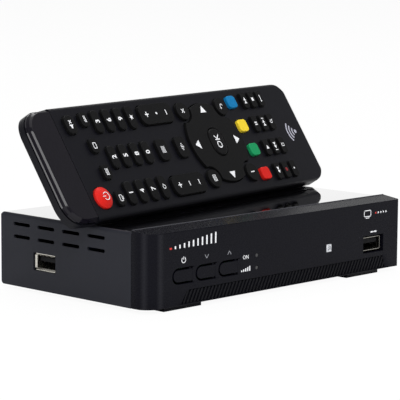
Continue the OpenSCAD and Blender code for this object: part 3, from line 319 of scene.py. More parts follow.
def studio_paper(name, colour, glow, mirrored, white=1.0):
    """Matte white paper: near white to the lens, in mirrors too where asked, and it takes a shadow."""
    material, tree = blank_material(name)
    paper = add_node(tree, "ShaderNodeBsdfDiffuse", inputs={"Color": rgba(colour)})
    plain = add_node(tree, "ShaderNodeEmission", inputs={"Color": (1, 1, 1, 1), "Strength": white})
    path = add_node(tree, "ShaderNodeLightPath")
    mirror = add_node(tree, "ShaderNodeMath", {"operation": "MULTIPLY"}, {
        0: path.outputs["Is Glossy Ray"], 1: float(mirrored)})
    seen = add_node(tree, "ShaderNodeMath", {"operation": "MAXIMUM"}, {
        0: path.outputs["Is Camera Ray"], 1: mirror.outputs[0]})
    share = add_node(tree, "ShaderNodeMath", {"operation": "MULTIPLY"}, {0: seen.outputs[0], 1: glow})
    mix = add_node(tree, "ShaderNodeMixShader", inputs={
        0: share.outputs[0], 1: paper.outputs[0], 2: plain.outputs[0]})
    add_node(tree, "ShaderNodeOutputMaterial", inputs={"Surface": mix.outputs[0]})
    return material


# Settings that a user would change


class DecoderFinish(PropertyGroup):
    """Colours and edge radii of the decoder."""

    coat: FloatVectorProperty(
        name="Powder coat", description="Colour of the folded cover's sides", subtype="COLOR", size=3,
        min=0, max=1, default=linear("#26272d"))
    lid: FloatVectorProperty(
        name="Lid lacquer", description="Colour under the glossy lid", subtype="COLOR", size=3,
        min=0, max=1, default=linear("#08080a"))
    panel: FloatVectorProperty(
        name="Front panel", description="Colour of the moulded front panel", subtype="COLOR", size=3,
        min=0, max=1, default=linear("#0b0b12"))
    ribs: FloatVectorProperty(
        name="Ribbed strip", description="Colour of the ribbed strip", subtype="COLOR", size=3,
        min=0, max=1, default=linear("#0b0b10"))
    zinc: FloatVectorProperty(
        name="Tray", description="Colour of the zinc-plated tray", subtype="COLOR", size=3,
        min=0, max=1, default=linear("#a3a6aa"))
    nickel: FloatVectorProperty(
        name="Sockets", description="Colour of the nickel-plated sockets", subtype="COLOR", size=3,
        min=0, max=1, default=linear("#bfbcb4"))
    lens: FloatVectorProperty(
        name="Infrared lens", description="Colour of the small lens in the front panel", subtype="COLOR",
        size=3, min=0, max=1, default=linear("#c6c8cd"))
    ink: FloatVectorProperty(
        name="Ink", description="Colour of the printed signs", subtype="COLOR", size=3,
        min=0, max=1, default=linear("#e6e7ea"))
    accent: FloatVectorProperty(
        name="Accent ink", description="Colour of the single accent bar", subtype="COLOR", size=3,
        min=0, max=1, default=linear("#c9352f"))
    panel_edge: FloatProperty(
        name="Panel edge", description="Rounding of the front panel's edges", unit="LENGTH",
        min=0.0001, default=0.25 * MM)
    sheet_edge: FloatProperty(
        name="Sheet edge", description="Rounding of the sheet metal's cut edges", unit="LENGTH",
        min=0.00005, default=0.15 * MM)
    lip_flare: FloatProperty(
        name="Socket lip", description="How far the side socket's sheet lips bend outward", unit="LENGTH",
        min=0.0001, max=0.7 * MM, default=0.6 * MM)
    bead: FloatProperty(
        name="Panel bead", description="Radius of the bead along the panel's top", unit="LENGTH",
        min=0.0001, max=0.5 * MM, default=0.3 * MM)
    button_edge: FloatProperty(
        name="Button edge", description="Rounding of the front buttons' edges", unit="LENGTH",
        min=0.00005, default=0.35 * MM)


class RemoteFinish(PropertyGroup):
    """Colours and edge radii of the remote control."""

    case: FloatVectorProperty(
        name="Case", description="Colour of the remote's case", subtype="COLOR", size=3,
        min=0, max=1, default=linear("#0c0c12"))
    window: FloatVectorProperty(
        name="Window", description="Colour of the infrared window", subtype="COLOR", size=3,
        min=0, max=1, default=linear("#0f0d14"))
    key: FloatVectorProperty(
        name="Keys", description="Colour of the black keys", subtype="COLOR", size=3,
        min=0, max=1, default=linear("#0c0c0d"))
    red: FloatVectorProperty(
        name="Red keys", description="Colour of the power key and the red key", subtype="COLOR", size=3,
        min=0, max=1, default=linear("#c6201a"))
    green: FloatVectorProperty(
        name="Green key", description="Colour of the green key", subtype="COLOR", size=3,
        min=0, max=1, default=linear("#168954"))
    yellow: FloatVectorProperty(
        name="Yellow key", description="Colour of the yellow key", subtype="COLOR", size=3,
        min=0, max=1, default=linear("#e2c531"))
    blue: FloatVectorProperty(
        name="Blue key", description="Colour of the blue key", subtype="COLOR", size=3,
        min=0, max=1, default=linear("#0b6ea4"))
    case_edge: FloatProperty(
        name="Case edge", description="Rounding of the case's cut edges", unit="LENGTH",
        min=0.00005, default=0.3 * MM)
    window_edge: FloatProperty(
        name="Window edge", description="Rounding of the window's edges", unit="LENGTH",
        min=0.00005, default=0.28 * MM)
    key_edge: FloatProperty(
        name="Key edge", description="Rounding of the keys' edges", unit="LENGTH",
        min=0.00005, default=0.7 * MM)
    corner: FloatProperty(
        name="Case corner", description="Radius of the case's corners in plan", unit="LENGTH",
        min=0.001, default=11 * MM)
    facet_cad: FloatProperty(
        name="Full facet", description="Width of the facet round the window in the model", unit="LENGTH",
        min=0.001, default=1.9 * MM)
    facet: FloatProperty(
        name="Facet", description="Width of that facet as it is shown", unit="LENGTH",
        min=0.0002, max=1.9 * MM, default=0.8 * MM)
    wall_inset: FloatProperty(
        name="Wall inset", description="How far the window's end wall stands in from the case's outline",
        unit="LENGTH", min=0, max=1 * MM, default=0.5 * MM)
    lip_height: FloatProperty(
        name="Lip height", description="Height of the glossy lip at the foot of that wall", unit="LENGTH",
        min=0.0001, default=0.45 * MM)
    digit_height: FloatProperty(
        name="Digit height", description="Height of the printed digits", unit="LENGTH",
        min=0.001, default=2.7 * MM)


class StudioSettings(PropertyGroup):
    """Camera and lamps."""

    azimuth: FloatProperty(
        name="Azimuth", description="Turn of the camera from straight in front", subtype="ANGLE",
        default=math.radians(-45.738))
    elevation: FloatProperty(
        name="Elevation", description="Height angle of the camera", subtype="ANGLE",
        default=math.radians(7.836))
    roll: FloatProperty(
        name="Roll", description="Roll of the camera about its own axis", subtype="ANGLE",
        default=math.radians(0.363))
    distance: FloatProperty(
        name="Distance", description="Distance of the camera from its target", unit="LENGTH",
        default=1084.363 * MM)
    target: FloatVectorProperty(
        name="Target", description="Point on the camera's axis", subtype="XYZ", unit="LENGTH", size=3,
        default=(107.084 * MM, 108.166 * MM, 16 * MM))
    lens: FloatProperty(
        name="Lens", description="Focal length on a 36 mm sensor, in millimetres", default=180.0)
    ambient: FloatProperty(
        name="Ambient", description="Strength of the even light from all round", min=0, default=0.4)
    floor_glow: FloatProperty(
        name="Floor white", description="Share of plain white in the floor as the lens sees it",
        min=0, max=1, default=0.94)
    floor_size: FloatProperty(
        name="Floor size", description="Width of the floor", unit="LENGTH", default=16.0)
    backdrop_distance: FloatProperty(
        name="Backdrop distance", description="Distance of the backdrop behind the object", unit="LENGTH",
        default=4.5)
    backdrop_width: FloatProperty(
        name="Backdrop width", description="Width of the backdrop", unit="LENGTH", default=9.0)
    backdrop_height: FloatProperty(
        name="Backdrop height", description="Height of the backdrop", unit="LENGTH", default=1.3)
    backdrop_white: FloatProperty(
        name="Backdrop white", description="Brightness of the backdrop as the lid mirrors it",
        min=0, default=1.2)


# Pieces


def link(name, mesh):
    """A new object in the scene with this mesh."""
    piece = bpy.data.objects.new(name, mesh)
    bpy.context.scene.collection.objects.link(piece)
    return piece


def paint(node, material):
    """Gives a CAD node a finish through its object's material slots."""
    holder = NODES[node]
    for slot in holder.material_slots:
        slot.link = "OBJECT"
        slot.material = material


def soften(node, material, edge, segments=3, broad=0.0, trim=None):
    """A copy of a node with its sharp edges rounded, which stands in the node's place.

    Where a broad face is given as an area, only edges between two faces of that size are rounded.
    A trim takes the copy's mesh and adjusts it first.
    """
    shape = bmesh.new()
    shape.from_mesh(NODES[node].data)
    bmesh.ops.remove_doubles(shape, verts=shape.verts, dist=WELD)
    if trim:
        trim(shape)
    bmesh.ops.dissolve_limit(shape, angle_limit=FLAT_TURN, verts=shape.verts, edges=shape.edges)
    weight = shape.edges.layers.float.new("bevel_weight_edge")
    for line in shape.edges:
        if len(line.link_faces) == 2 and line.calc_face_angle() > ROUNDED_TURN:
            line[weight] = float(min(face.calc_area() for face in line.link_faces) >= broad)
    if broad:
        bmesh.ops.connect_verts_concave(shape, faces=shape.faces)
    mesh = bpy.data.meshes.new(node + "_finish")
    shape.to_mesh(mesh)
    shape.free()
    mesh.materials.append(material)
    mesh.polygons.foreach_set("use_smooth", [True] * len(mesh.polygons))
    mesh.set_sharp_from_angle(angle=SHADED_TURN)
    piece = link(node + "_finish", mesh)
    bevel = piece.modifiers.new("Rounded edges", "BEVEL")
    bevel.width = edge
    bevel.segments = segments
    bevel.limit_method = "WEIGHT"
    bevel.use_clamp_overlap = not broad
    bevel.miter_outer = "MITER_ARC"
    even = piece.modifiers.new("Even flat faces", "WEIGHTED_NORMAL")
    even.keep_sharp = True
    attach(piece, BODY_OF[node])
    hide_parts(node)
    return piece


def span_in_remote(points):
    """Lowest and highest corner of points, in the remote's own axes."""
    local = [REMOTE_AXES @ point for point in points]
    return (Vector(map(min, zip(*local))), Vector(map(max, zip(*local))))


def key_span(node):
    """Lowest and highest corner of a node, in the remote's own axes."""
    return span_in_remote([vertex.co for vertex in NODES[node].data.vertices])


def face_place(x, y, z):
    """Places a print on the remote, at a point in the remote's own axes."""
    return Matrix.Translation(REMOTE_AXES.transposed() @ Vector((x, y, z))) @ REMOTE_TURN


def key_place(node):
    """Places a print on the middle of a key's top."""
    low, high = key_span(node)
    return face_place((low.x + high.x) / 2, (low.y + high.y) / 2, high.z)


def flat_tops(node):
    """Places for prints on every separate flat top of a node, from the window's end to the tail."""
    shape = bmesh.new()
    shape.from_mesh(NODES[node].data)
    bmesh.ops.remove_doubles(shape, verts=shape.verts, dist=WELD)
    level = max(vertex.co.dot(OUT) for vertex in shape.verts) - TOP_DEPTH
    left = {face for face in shape.faces if min(vertex.co.dot(OUT) for vertex in face.verts) > level}
    spans = []
    while left:
        island = [left.pop()]
        for face in island:
            near = {other for edge in face.edges for other in edge.link_faces} & left
            left -= near
            island.extend(near)
        spans.append(span_in_remote([vertex.co for face in island for vertex in face.verts]))
    shape.free()
    middles = [(low + high) / 2 for low, high in spans]
    middles.sort(key=lambda middle: (round(middle.x / ROW_STEP), middle.y))
    return [face_place(middle.x, middle.y, middle.z) for middle in middles]


# Signs: each is a list of flat outlines in millimetres, about its own centre


def bar(x, y, width, height):
    """Upright rectangle about a point."""
    return [(x - width / 2, y - height / 2), (x + width / 2, y - height / 2),
            (x + width / 2, y + height / 2), (x - width / 2, y + height / 2)]


def stroke(x0, y0, x1, y1, width):
    """Straight line with square ends."""
    run = Vector((x1 - x0, y1 - y0))
    side = Vector((-run.y, run.x)).normalized() * width / 2
    return [(x0 - side.x, y0 - side.y), (x1 - side.x, y1 - side.y),
            (x1 + side.x, y1 + side.y), (x0 + side.x, y0 + side.y)]


def disc(x, y, radius, sides=20):
    """Round dot."""
    turns = [2 * math.pi * i / sides for i in range(sides)]
    return [(x + radius * math.cos(a), y + radius * math.sin(a)) for a in turns]


def wedge(x, y, width, height, turn=0):
    """Triangle that points up before it is turned by an angle in degrees."""
    c, s = math.cos(math.radians(turn)), math.sin(math.radians(turn))
    corners = [(-width / 2, -height / 2), (width / 2, -height / 2), (0, height / 2)]
    return [(x + c * u - s * v, y + s * u + c * v) for u, v in corners]


def arc(x, y, radius, width, start, stop, steps=18):
    """Part of a ring between two angles in degrees, as a row of short quads."""
    turns = [math.radians(start + (stop - start) * i / steps) for i in range(steps + 1)]
    inner, outer = ([(x + r * math.cos(a), y + r * math.sin(a)) for a in turns]
                    for r in (radius - width / 2, radius + width / 2))
    return [[inner[i], outer[i], outer[i + 1], inner[i + 1]] for i in range(steps)]


def frame_sign(width, height, line):
    """Outline of a rectangle."""
    x, y = (width - line) / 2, (height - line) / 2
    outlines = []
    for side in (-1, 1):
        outlines += [bar(0, side * y, width, line), bar(side * x, 0, line, height)]
    return outlines


def power_sign(size, line):
    """Open ring with an upright bar."""
    return arc(0, 0, size / 2, line, 125, 415, 24) + [bar(0, size * 0.36, line, size * 0.55)]


def lines_sign(width, count, pitch, line):
    """Stack of level bars."""
    return [bar(0, (i - (count - 1) / 2) * pitch, width, line) for i in range(count)]


def mute_sign():
    """Loudspeaker with a cross beside it."""
    horn = [(-1.9, -0.5), (-1.1, -0.5), (-0.1, -1.4), (-0.1, 1.4), (-1.1, 0.5), (-1.9, 0.5)]
    return [horn, stroke(0.5, -0.8, 2.0, 0.8, 0.42), stroke(0.5, 0.8, 2.0, -0.8, 0.42)]


def screen_sign(width, height, line):
    """Screen on a foot."""
    return frame_sign(width, height, line) + [bar(0, -height / 2 - 0.55, width * 0.5, line)]


def cross_sign(size, line):
    """Two crossed strokes."""
    h = size / 2
    return [stroke(-h, -h, h, h, line), stroke(-h, h, h, -h, line)]


def plus_sign(size, line):
    """Level and upright bar."""
    return [bar(0, 0, size, line), bar(0, (size + line) / 4, line, (size - line) / 2),
            bar(0, -(size + line) / 4, line, (size - line) / 2)]


def shifted(sign, x, y):
    """A sign moved sideways and up."""
    return [[(u + x, v + y) for u, v in outline] for outline in sign]


def return_sign():
    """Arrow that turns back."""
    bow = arc(0.2, -0.1, 0.9, 0.36, -90, 90, 10)
    return bow + [bar(-0.35, 0.8, 1.1, 0.36), wedge(-1.2, 0.8, 1.2, 0.9, 90)]


def ring_arrow_sign():
    """Round arrow."""
    return arc(0, 0, 0.95, 0.34, 60, 340, 18) + [wedge(1.0, 0.35, 1.1, 0.9, 10)]


def star_sign(radius):
    """Five-pointed star, as five kites about the centre."""
    kites = []
    inner = 0.42 * radius
    for i in range(5):
        tip, left, right = (math.radians(90 + 72 * i + step) for step in (0, 36, -36))
        kites.append([(0, 0), (inner * math.cos(right), inner * math.sin(right)),
                      (radius * math.cos(tip), radius * math.sin(tip)),
                      (inner * math.cos(left), inner * math.sin(left))])
    return kites


def raise_outlines(shape, outlines, place, proud):
    """Adds outlines to a mesh as thin closed plates on a surface."""
    for outline in outlines:
        rings = [[shape.verts.new(place @ Vector((x * MM, y * MM, z))) for x, y in outline]
                 for z in (-proud, proud)]
        shape.faces.new(reversed(rings[0]))
        shape.faces.new(rings[1])
        for i in range(len(outline)):
            j = (i + 1) % len(outline)
            shape.faces.new((rings[0][i], rings[0][j], rings[1][j], rings[1][i]))


def raise_text(shape, text, height, place, proud, weight):
    """Adds plain generic characters to a mesh as thin closed plates, centred on a surface."""
    curve = bpy.data.curves.new("characters", "FONT")
    curve.body = text
    curve.size = height / CAPITAL_SHARE
    curve.offset = height * weight
    curve.extrude = proud
    curve.resolution_u = 3
    curve.align_x = "CENTER"
    holder = link("characters", curve)
    bpy.context.view_layer.update()
    mesh = bpy.data.meshes.new_from_object(holder.evaluated_get(bpy.context.evaluated_depsgraph_get()))
    top = max(vertex.co.y for vertex in mesh.vertices)
    low = min(vertex.co.y for vertex in mesh.vertices)
    mesh.transform(place @ Matrix.Translation((0, -(top + low) / 2, 0)))
    shape.from_mesh(mesh)
    bpy.data.meshes.remove(mesh)
    bpy.data.objects.remove(holder)
    bpy.data.curves.remove(curve)


class Layer:
    """Thin added forms of one material that move with one body."""

    def __init__(self, name, body, material, proud=PRINT_RISE):
        self.name, self.body, self.material, self.proud = name, body, material, proud
        self.shape = bmesh.new()

    def sign(self, outlines, place):
        """Adds a sign."""
        raise_outlines(self.shape, outlines, place, self.proud)

    def text(self, text, height, place, weight=0.035):
        """Adds generic characters, whose strokes grow by a share of their height."""
        raise_text(self.shape, text, height, place, self.proud, weight)

    def sweep(self, sections):
        """Adds a closed bar through a row of sections, each a loop of points."""
        rings = [[self.shape.verts.new(point) for point in section] for section in sections]
        for one, two in zip(rings, rings[1:]):
            for i in range(len(one)):
                j = (i + 1) % len(one)
                self.shape.faces.new((one[i], one[j], two[j], two[i]))
        self.shape.faces.new(reversed(rings[0]))
        self.shape.faces.new(rings[-1])

    def close(self, slot):
        """Turns the forms into one piece."""
        bmesh.ops.remove_doubles(self.shape, verts=self.shape.verts, dist=PRINT_WELD)
        bmesh.ops.recalc_face_normals(self.shape, faces=self.shape.faces)
        mesh = bpy.data.meshes.new(self.name)
        self.shape.to_mesh(mesh)
        self.shape.free()
        mesh.materials.append(self.material)
        piece = link(self.name, mesh)
        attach(piece, self.body)


# Operators


class DECODER_OT_cover(Operator):
    """Finish the folded cover, its glossy lid, the tray, feet and screws"""

    bl_idname = "decoder.cover"
    bl_label = "Cover and Tray"

    def execute(self, context):
        looks = context.scene.decoder_finish
        coat = powder_coated_steel("Powder-coated steel", looks.coat)
        cover = soften("top_cover", coat, looks.sheet_edge, segments=2)
        cover.data.materials.append(black_lacquer("Black lacquer", looks.lid))
        upward, thickness = 0.97, 1.5 * MM
        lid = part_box("top_cover")[1].z - thickness
        for face in cover.data.polygons:
            if face.normal.z > upward and face.center.z > lid:
                face.material_index = 1
        paint("base_tray", zinc_sheet("Zinc-plated sheet", looks.zinc))
        paint("case_screws", nickel_plate("Zinc-plated screws", looks.nickel, 0.32))
        paint("rear_feet", silicone_rubber("Foot rubber", linear("#1b1b1d"), 0.7))
        return {"FINISHED"}


class DECODER_OT_front(Operator):
    """Finish the front panel, its ribbed strip, buttons, lens and lamps"""

    bl_idname = "decoder.front"
    bl_label = "Front Panel"

    def execute(self, context):
        looks = context.scene.decoder_finish
        # The corner colour paints two highlights up the panel's left corner
        satin = moulded_abs(
            "Satin black ABS", looks.panel, 0.26, relief=0.012, shine=0.06, corner=linear("#1e1e23"))
        soften("front_panel", satin, looks.panel_edge, broad=20 * MM * MM)
        # The bead's pale grey is a painted highlight along the panel's top edge
        self.lay_bead(looks.bead, moulded_abs("Painted highlight ABS", linear("#45454a"), 0.3))
        for node in ("power_button", "down_button", "up_button"):
            soften(node, satin, looks.button_edge)
            self.bridge_root(node, satin)
        soften("rib_strip", moulded_abs("Ribbed black ABS", looks.ribs, 0.46), edge=0.12 * MM, segments=2)
        soften("ir_lens", clear_resin("Pale polycarbonate", looks.lens), edge=0.2 * MM, segments=2)
        paint("status_leds", clear_resin("Smoked epoxy", linear("#141417")))
        return {"FINISHED"}

    def lay_bead(self, radius, material):
        """Lays a fine bead along the rear edge of the panel's top."""
        low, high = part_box("front_panel")
        points = [vertex.co for vertex in NODES["front_panel"].data.vertices]
        rear = max(point.y for point in points if point.z > high.z - IN_PLANE)
        axis_y, axis_z = rear - radius, high.z - 0.4 * radius
        turns = [math.radians(angle) for angle in range(-20, 201, 20)]
        profile = [(axis_y + radius * math.cos(a), axis_z + radius * math.sin(a)) for a in turns]
        bead = Layer("panel_bead", "decoder", material)
        bead.sweep([[Vector((x, y, z)) for y, z in profile] for x in (low.x + radius, high.x - radius)])
        bead.close("front_panel")

    def bridge_root(self, node, material):
        """Bridges the gap at a button's root with a thin web that laps the panel."""
        low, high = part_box(node)
        place = Matrix.Translation((high.x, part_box("front_panel")[0].y, (low.z + high.z) / 2))
        half_height = (high.z - low.z) / 2 + 0.1 * MM
        on_button, on_panel, sunk, rise, clear = 0.6, 0.8, 0.1, 0.05, 0.012
        section = [(-on_button, sunk), (-on_button, -rise), (on_panel, -rise),
                   (on_panel, -clear), (0, -clear), (0, sunk)]
        web = Layer(node + "_web", BODY_OF[node], material, half_height)
        web.sign([section], place)
        web.close(node)


class DECODER_OT_front_prints(Operator):
    """Print the signs on the front panel"""

    bl_idname = "decoder.front_prints"
    bl_label = "Front Signs"

    def execute(self, context):
        looks = context.scene.decoder_finish
        ink = printed_ink("White pad-print ink", looks.ink)
        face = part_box("front_panel")[0].y
        signs = Layer("front_signs", "decoder", ink)
        lift = 3.6 * MM

        def at(x, z):
            """Places a sign on the panel's face."""
            return Matrix.Translation((x, face, z)) @ FRONT_TURN

        def over(node):
            """Places a sign over a button."""
            low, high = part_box(node)
            return at((low.x + high.x) / 2, high.z + lift)

        signs.sign(power_sign(2.4, 0.36), over("power_button"))
        lamp_low, lamp_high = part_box("status_leds")
        beside = lamp_low.x - 5.8 * MM
        signs.text("ON", 1.7 * MM, at(beside, lamp_high.z - 1.5 * MM), 0.01)
        steps = [bar((i - 2) * 1.3, 0.18 * (i + 2) - 0.85, 0.7, 0.36 * (i + 2)) for i in range(5)]
        signs.sign(steps, at(beside, lamp_low.z + 1.5 * MM))
        meter, screen, dots = at(-70.2 * MM, 27 * MM), at(60.5 * MM, 29.6 * MM), at(66.5 * MM, 29.4 * MM)
        dot = 0.45
        signs.sign([bar(2.75 * i, 0.2 * (i + 2), 0.85, 0.4 * (i + 2)) for i in range(1, 11)], meter)
        signs.sign(screen_sign(5.2, 3.2, 0.4), screen)
        signs.sign([disc(1.9 * i, 0, dot) for i in range(1, 5)], dots)
        usb_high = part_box("usb_shells")[1]
        signs.sign([bar(-1.3, 0, 1.8, 0.7), bar(1.3, 0, 1.8, 0.7), bar(0, 0, 0.9, 0.35)],
                   at(usb_high.x - 6.6 * MM, usb_high.z + 2.6 * MM))
        signs.close("front_panel")
        accent = Layer("front_accent", "decoder", printed_ink("Red pad-print ink", looks.accent))
        accent.sign([bar(0, 0.4, 1.3, 0.8)], meter)
        accent.sign([disc(0, 0, dot)], dots)
        accent.close("front_panel")
        faint = Layer("front_arrows", "decoder", printed_ink("Grey pad-print ink", linear("#8b8c92")))
        for node, side in (("down_button", -1), ("up_button", 1)):
            chevron = [stroke(x, -0.8 * side, 0, 0.8 * side, 0.32) for x in (-1.1, 1.1)]
            faint.sign(chevron, over(node))
        faint.close("front_panel")
        lens_low, lens_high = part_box("ir_lens")
        middle = (lens_low + lens_high) / 2
        glyph = Layer("lens_sign", "decoder", printed_ink("Grey ink", linear("#55575d")))
        place = Matrix.Translation((middle.x, lens_low.y, middle.z))
        glyph.sign(arc(-0.6, -0.7, 1.0, 0.32, 0, 90, 8) + arc(-0.6, -0.7, 1.8, 0.32, 0, 90, 10)
                   + [disc(-0.6, -0.7, 0.34)], place @ FRONT_TURN)
        glyph.close("ir_lens")
        return {"FINISHED"}


class DECODER_OT_sockets(Operator):
    """Finish the sockets on the front, side and rear"""

    bl_idname = "decoder.sockets"
    bl_label = "Sockets"

    def execute(self, context):
        looks = context.scene.decoder_finish
        nickel = nickel_plate("Nickel plate", looks.nickel)
        black = moulded_abs("Black socket nylon", linear("#141416"), 0.5)
        shells = soften("usb_shells", nickel, edge=0.1 * MM, segments=2)
        # The front socket's shells get a darker copy of the nickel: painted shade for their recess in the panel
        shells.data.materials.append(nickel_plate("Shaded nickel plate", shade(looks.nickel, -0.4)))
        for face in shells.data.polygons:
            face.material_index = int(face.center.y < 0)
        plated = ("aerial_in_socket", "aerial_out_socket", "phono_sleeves", "lan_socket", "video_socket")
        for node in plated:
            paint(node, nickel)
        for node in ("usb_tongues", "phono_block", "dc_jack"):
            paint(node, black)
        self.flare_side_mouth(looks.lip_flare, nickel)
        return {"FINISHED"}

    def flare_side_mouth(self, flare, material):
        """Bends four sheet tabs outward round the mouth of the side socket."""
        points = [vertex.co for vertex in NODES["usb_shells"].data.vertices]
        level = min(point.x for point in points)
        rim = [point for point in points if point.x < level + IN_PLANE]
        low, high = (Vector(map(pick, zip(*rim))) for pick in (min, max))
        middle, half = (low + high) / 2, (high - low) / 2
        inward, rear, up = Vector((1, 0, 0)), Vector((0, 1, 0)), Vector((0, 0, 1))
        lips = Layer("usb_lips", "decoder", material)
        for side, run in ((rear, up), (-rear, up), (up, rear), (-up, rear)):
            root = middle + side * abs(half.dot(side))
            end = run * (half.dot(run) - flare / 2)
            sheet = side * flare / 2
            edges = (root - end, root + end, root + end - sheet, root - end - sheet)
            moves = (inward * flare, Vector(), (side - inward) * flare)
            lips.sweep([[edge + move for edge in edges] for move in moves])
        lips.close("usb_shells")


class DECODER_OT_boards(Operator):
    """Finish the circuit boards and what stands on them"""

    bl_idname = "decoder.boards"
    bl_label = "Boards"

    def execute(self, context):
        mask = solder_mask("Green solder mask", linear("#1f4d2c"))
        black = moulded_abs("Black moulding compound", linear("#161618"), 0.6)
        for node in ("main_board", "front_board", "remote_board"):
            paint(node, mask)
        for node in ("main_chip", "tact_switches", "ir_receiver"):
            paint(node, black)
        paint("heat_sink", nickel_plate("Black anodised aluminium", linear("#2e2f33"), 0.4))
        paint("tuner_can", nickel_plate("Tin plate", linear("#c3c6ca"), 0.3))
        paint("capacitors", moulded_abs("Capacitor sleeve", linear("#1d2a44"), 0.35))
        paint("ribbon_cable", moulded_abs("Ribbon cable vinyl", linear("#a5a5a0"), 0.45))
        return {"FINISHED"}


class DECODER_OT_remote_case(Operator):
    """Finish the remote's case, window, battery cover and what lies inside"""

    bl_idname = "decoder.remote_case"
    bl_label = "Remote Case"

    def execute(self, context):
        looks = context.scene.remote_finish
        matte = moulded_abs("Fine-textured black ABS", looks.case, 0.36, relief=0.06, shine=0.13)
        for node in ("remote_upper_case", "remote_lower_case", "remote_battery_cover"):
            soften(node, matte, looks.case_edge)
        acrylic = infrared_acrylic("Infrared-pass acrylic", looks.window)
        soften("remote_ir_window", acrylic, looks.window_edge, trim=self.set_window_in)
        self.lay_lip(looks, acrylic)
        paint("remote_ir_led", clear_resin("Violet epoxy", linear("#5b4f78")))
        paint("remote_cells", moulded_abs("Cell sleeve", linear("#b7952c"), 0.35))
        paint("remote_contacts", nickel_plate("Contact nickel", linear("#cfd0d2")))
        return {"FINISHED"}

    def set_window_in(self, shape):
        """Narrows the window's facet and sets its wall in from the outline, fading towards its seam."""
        looks = bpy.context.scene.remote_finish
        low, high = key_span("remote_ir_window")
        r, wide, narrow = looks.corner, looks.facet_cad, looks.facet
        fade = high.x - low.x - r
        near = 0.03 * MM
        for vertex in shape.verts:
            local = REMOTE_AXES @ vertex.co
            across = min(max(local.y, low.y + r), high.y - r)
            offset = Vector((min(local.x - low.x - r, 0), local.y - across, 0))
            inset, depth = r - offset.length, high.z - local.z
            on_facet = abs(inset + depth - wide) < near
            if not on_facet and inset > near:
                continue
            down = min(depth / wide, 1)
            goal, drop = (wide - narrow * down, narrow * down) if on_facet else (looks.wall_inset, depth)
            share = min((high.x - local.x) / fade, 1)
            local -= offset.normalized() * (goal - inset) * share
            local.z -= (drop - depth) * share
            vertex.co = REMOTE_AXES.transposed() @ local

    def lay_lip(self, looks, material):
        """Lays the glossy lip along the foot of the window's wall."""
        low, high = key_span("remote_ir_window")
        r, h = looks.corner, looks.lip_height
        # Centre and angle in degrees, round the end's two corners from the upper side to the lower
        outline = [(high.y - r, angle) for angle in range(110, 181, 7)]
        outline += [(low.y + r, angle) for angle in range(180, 236, 5)]
        sections = []
        for middle, angle in outline:
            outward = Vector((math.cos(math.radians(angle)), math.sin(math.radians(angle)), 0))
            foot = Vector((low.x + r, middle, low.z)) + outward * (r - looks.wall_inset)
            points = (foot + outward * h, foot + Vector((0, 0, h)), foot - outward * h / 4)
            sections.append([REMOTE_AXES.transposed() @ point for point in points])
        lip = Layer("remote_end_lip", "remote", material)
        lip.sweep(sections)
        lip.close("remote_ir_window")


class DECODER_OT_remote_keys(Operator):
    """Finish the remote's keypad and its moving keys"""

    bl_idname = "decoder.remote_keys"
    bl_label = "Remote Keys"

    def execute(self, context):
        looks = context.scene.remote_finish
        black = silicone_rubber("Black silicone", looks.key)
        tinted = {
            "remote_power_key": ("Red silicone", looks.red),
            "remote_red_key": ("Red silicone", looks.red),
            "remote_green_key": ("Green silicone", looks.green),
            "remote_yellow_key": ("Yellow silicone", looks.yellow),
            "remote_blue_key": ("Blue silicone", looks.blue),
        }
        still = ("decoder", "remote", "battery_cover")
        moving = [node for node in sorted(NODES)
                  if node.startswith("remote_") and BODY_OF[node] not in still]
        for node in ["remote_keypad", *moving]:
            finish = black
            if node in tinted:
                name, colour = tinted[node]
                finish = bpy.data.materials.get(name) or silicone_rubber(name, colour, 0.42)
            soften(node, finish, looks.key_edge, segments=4)
        return {"FINISHED"}


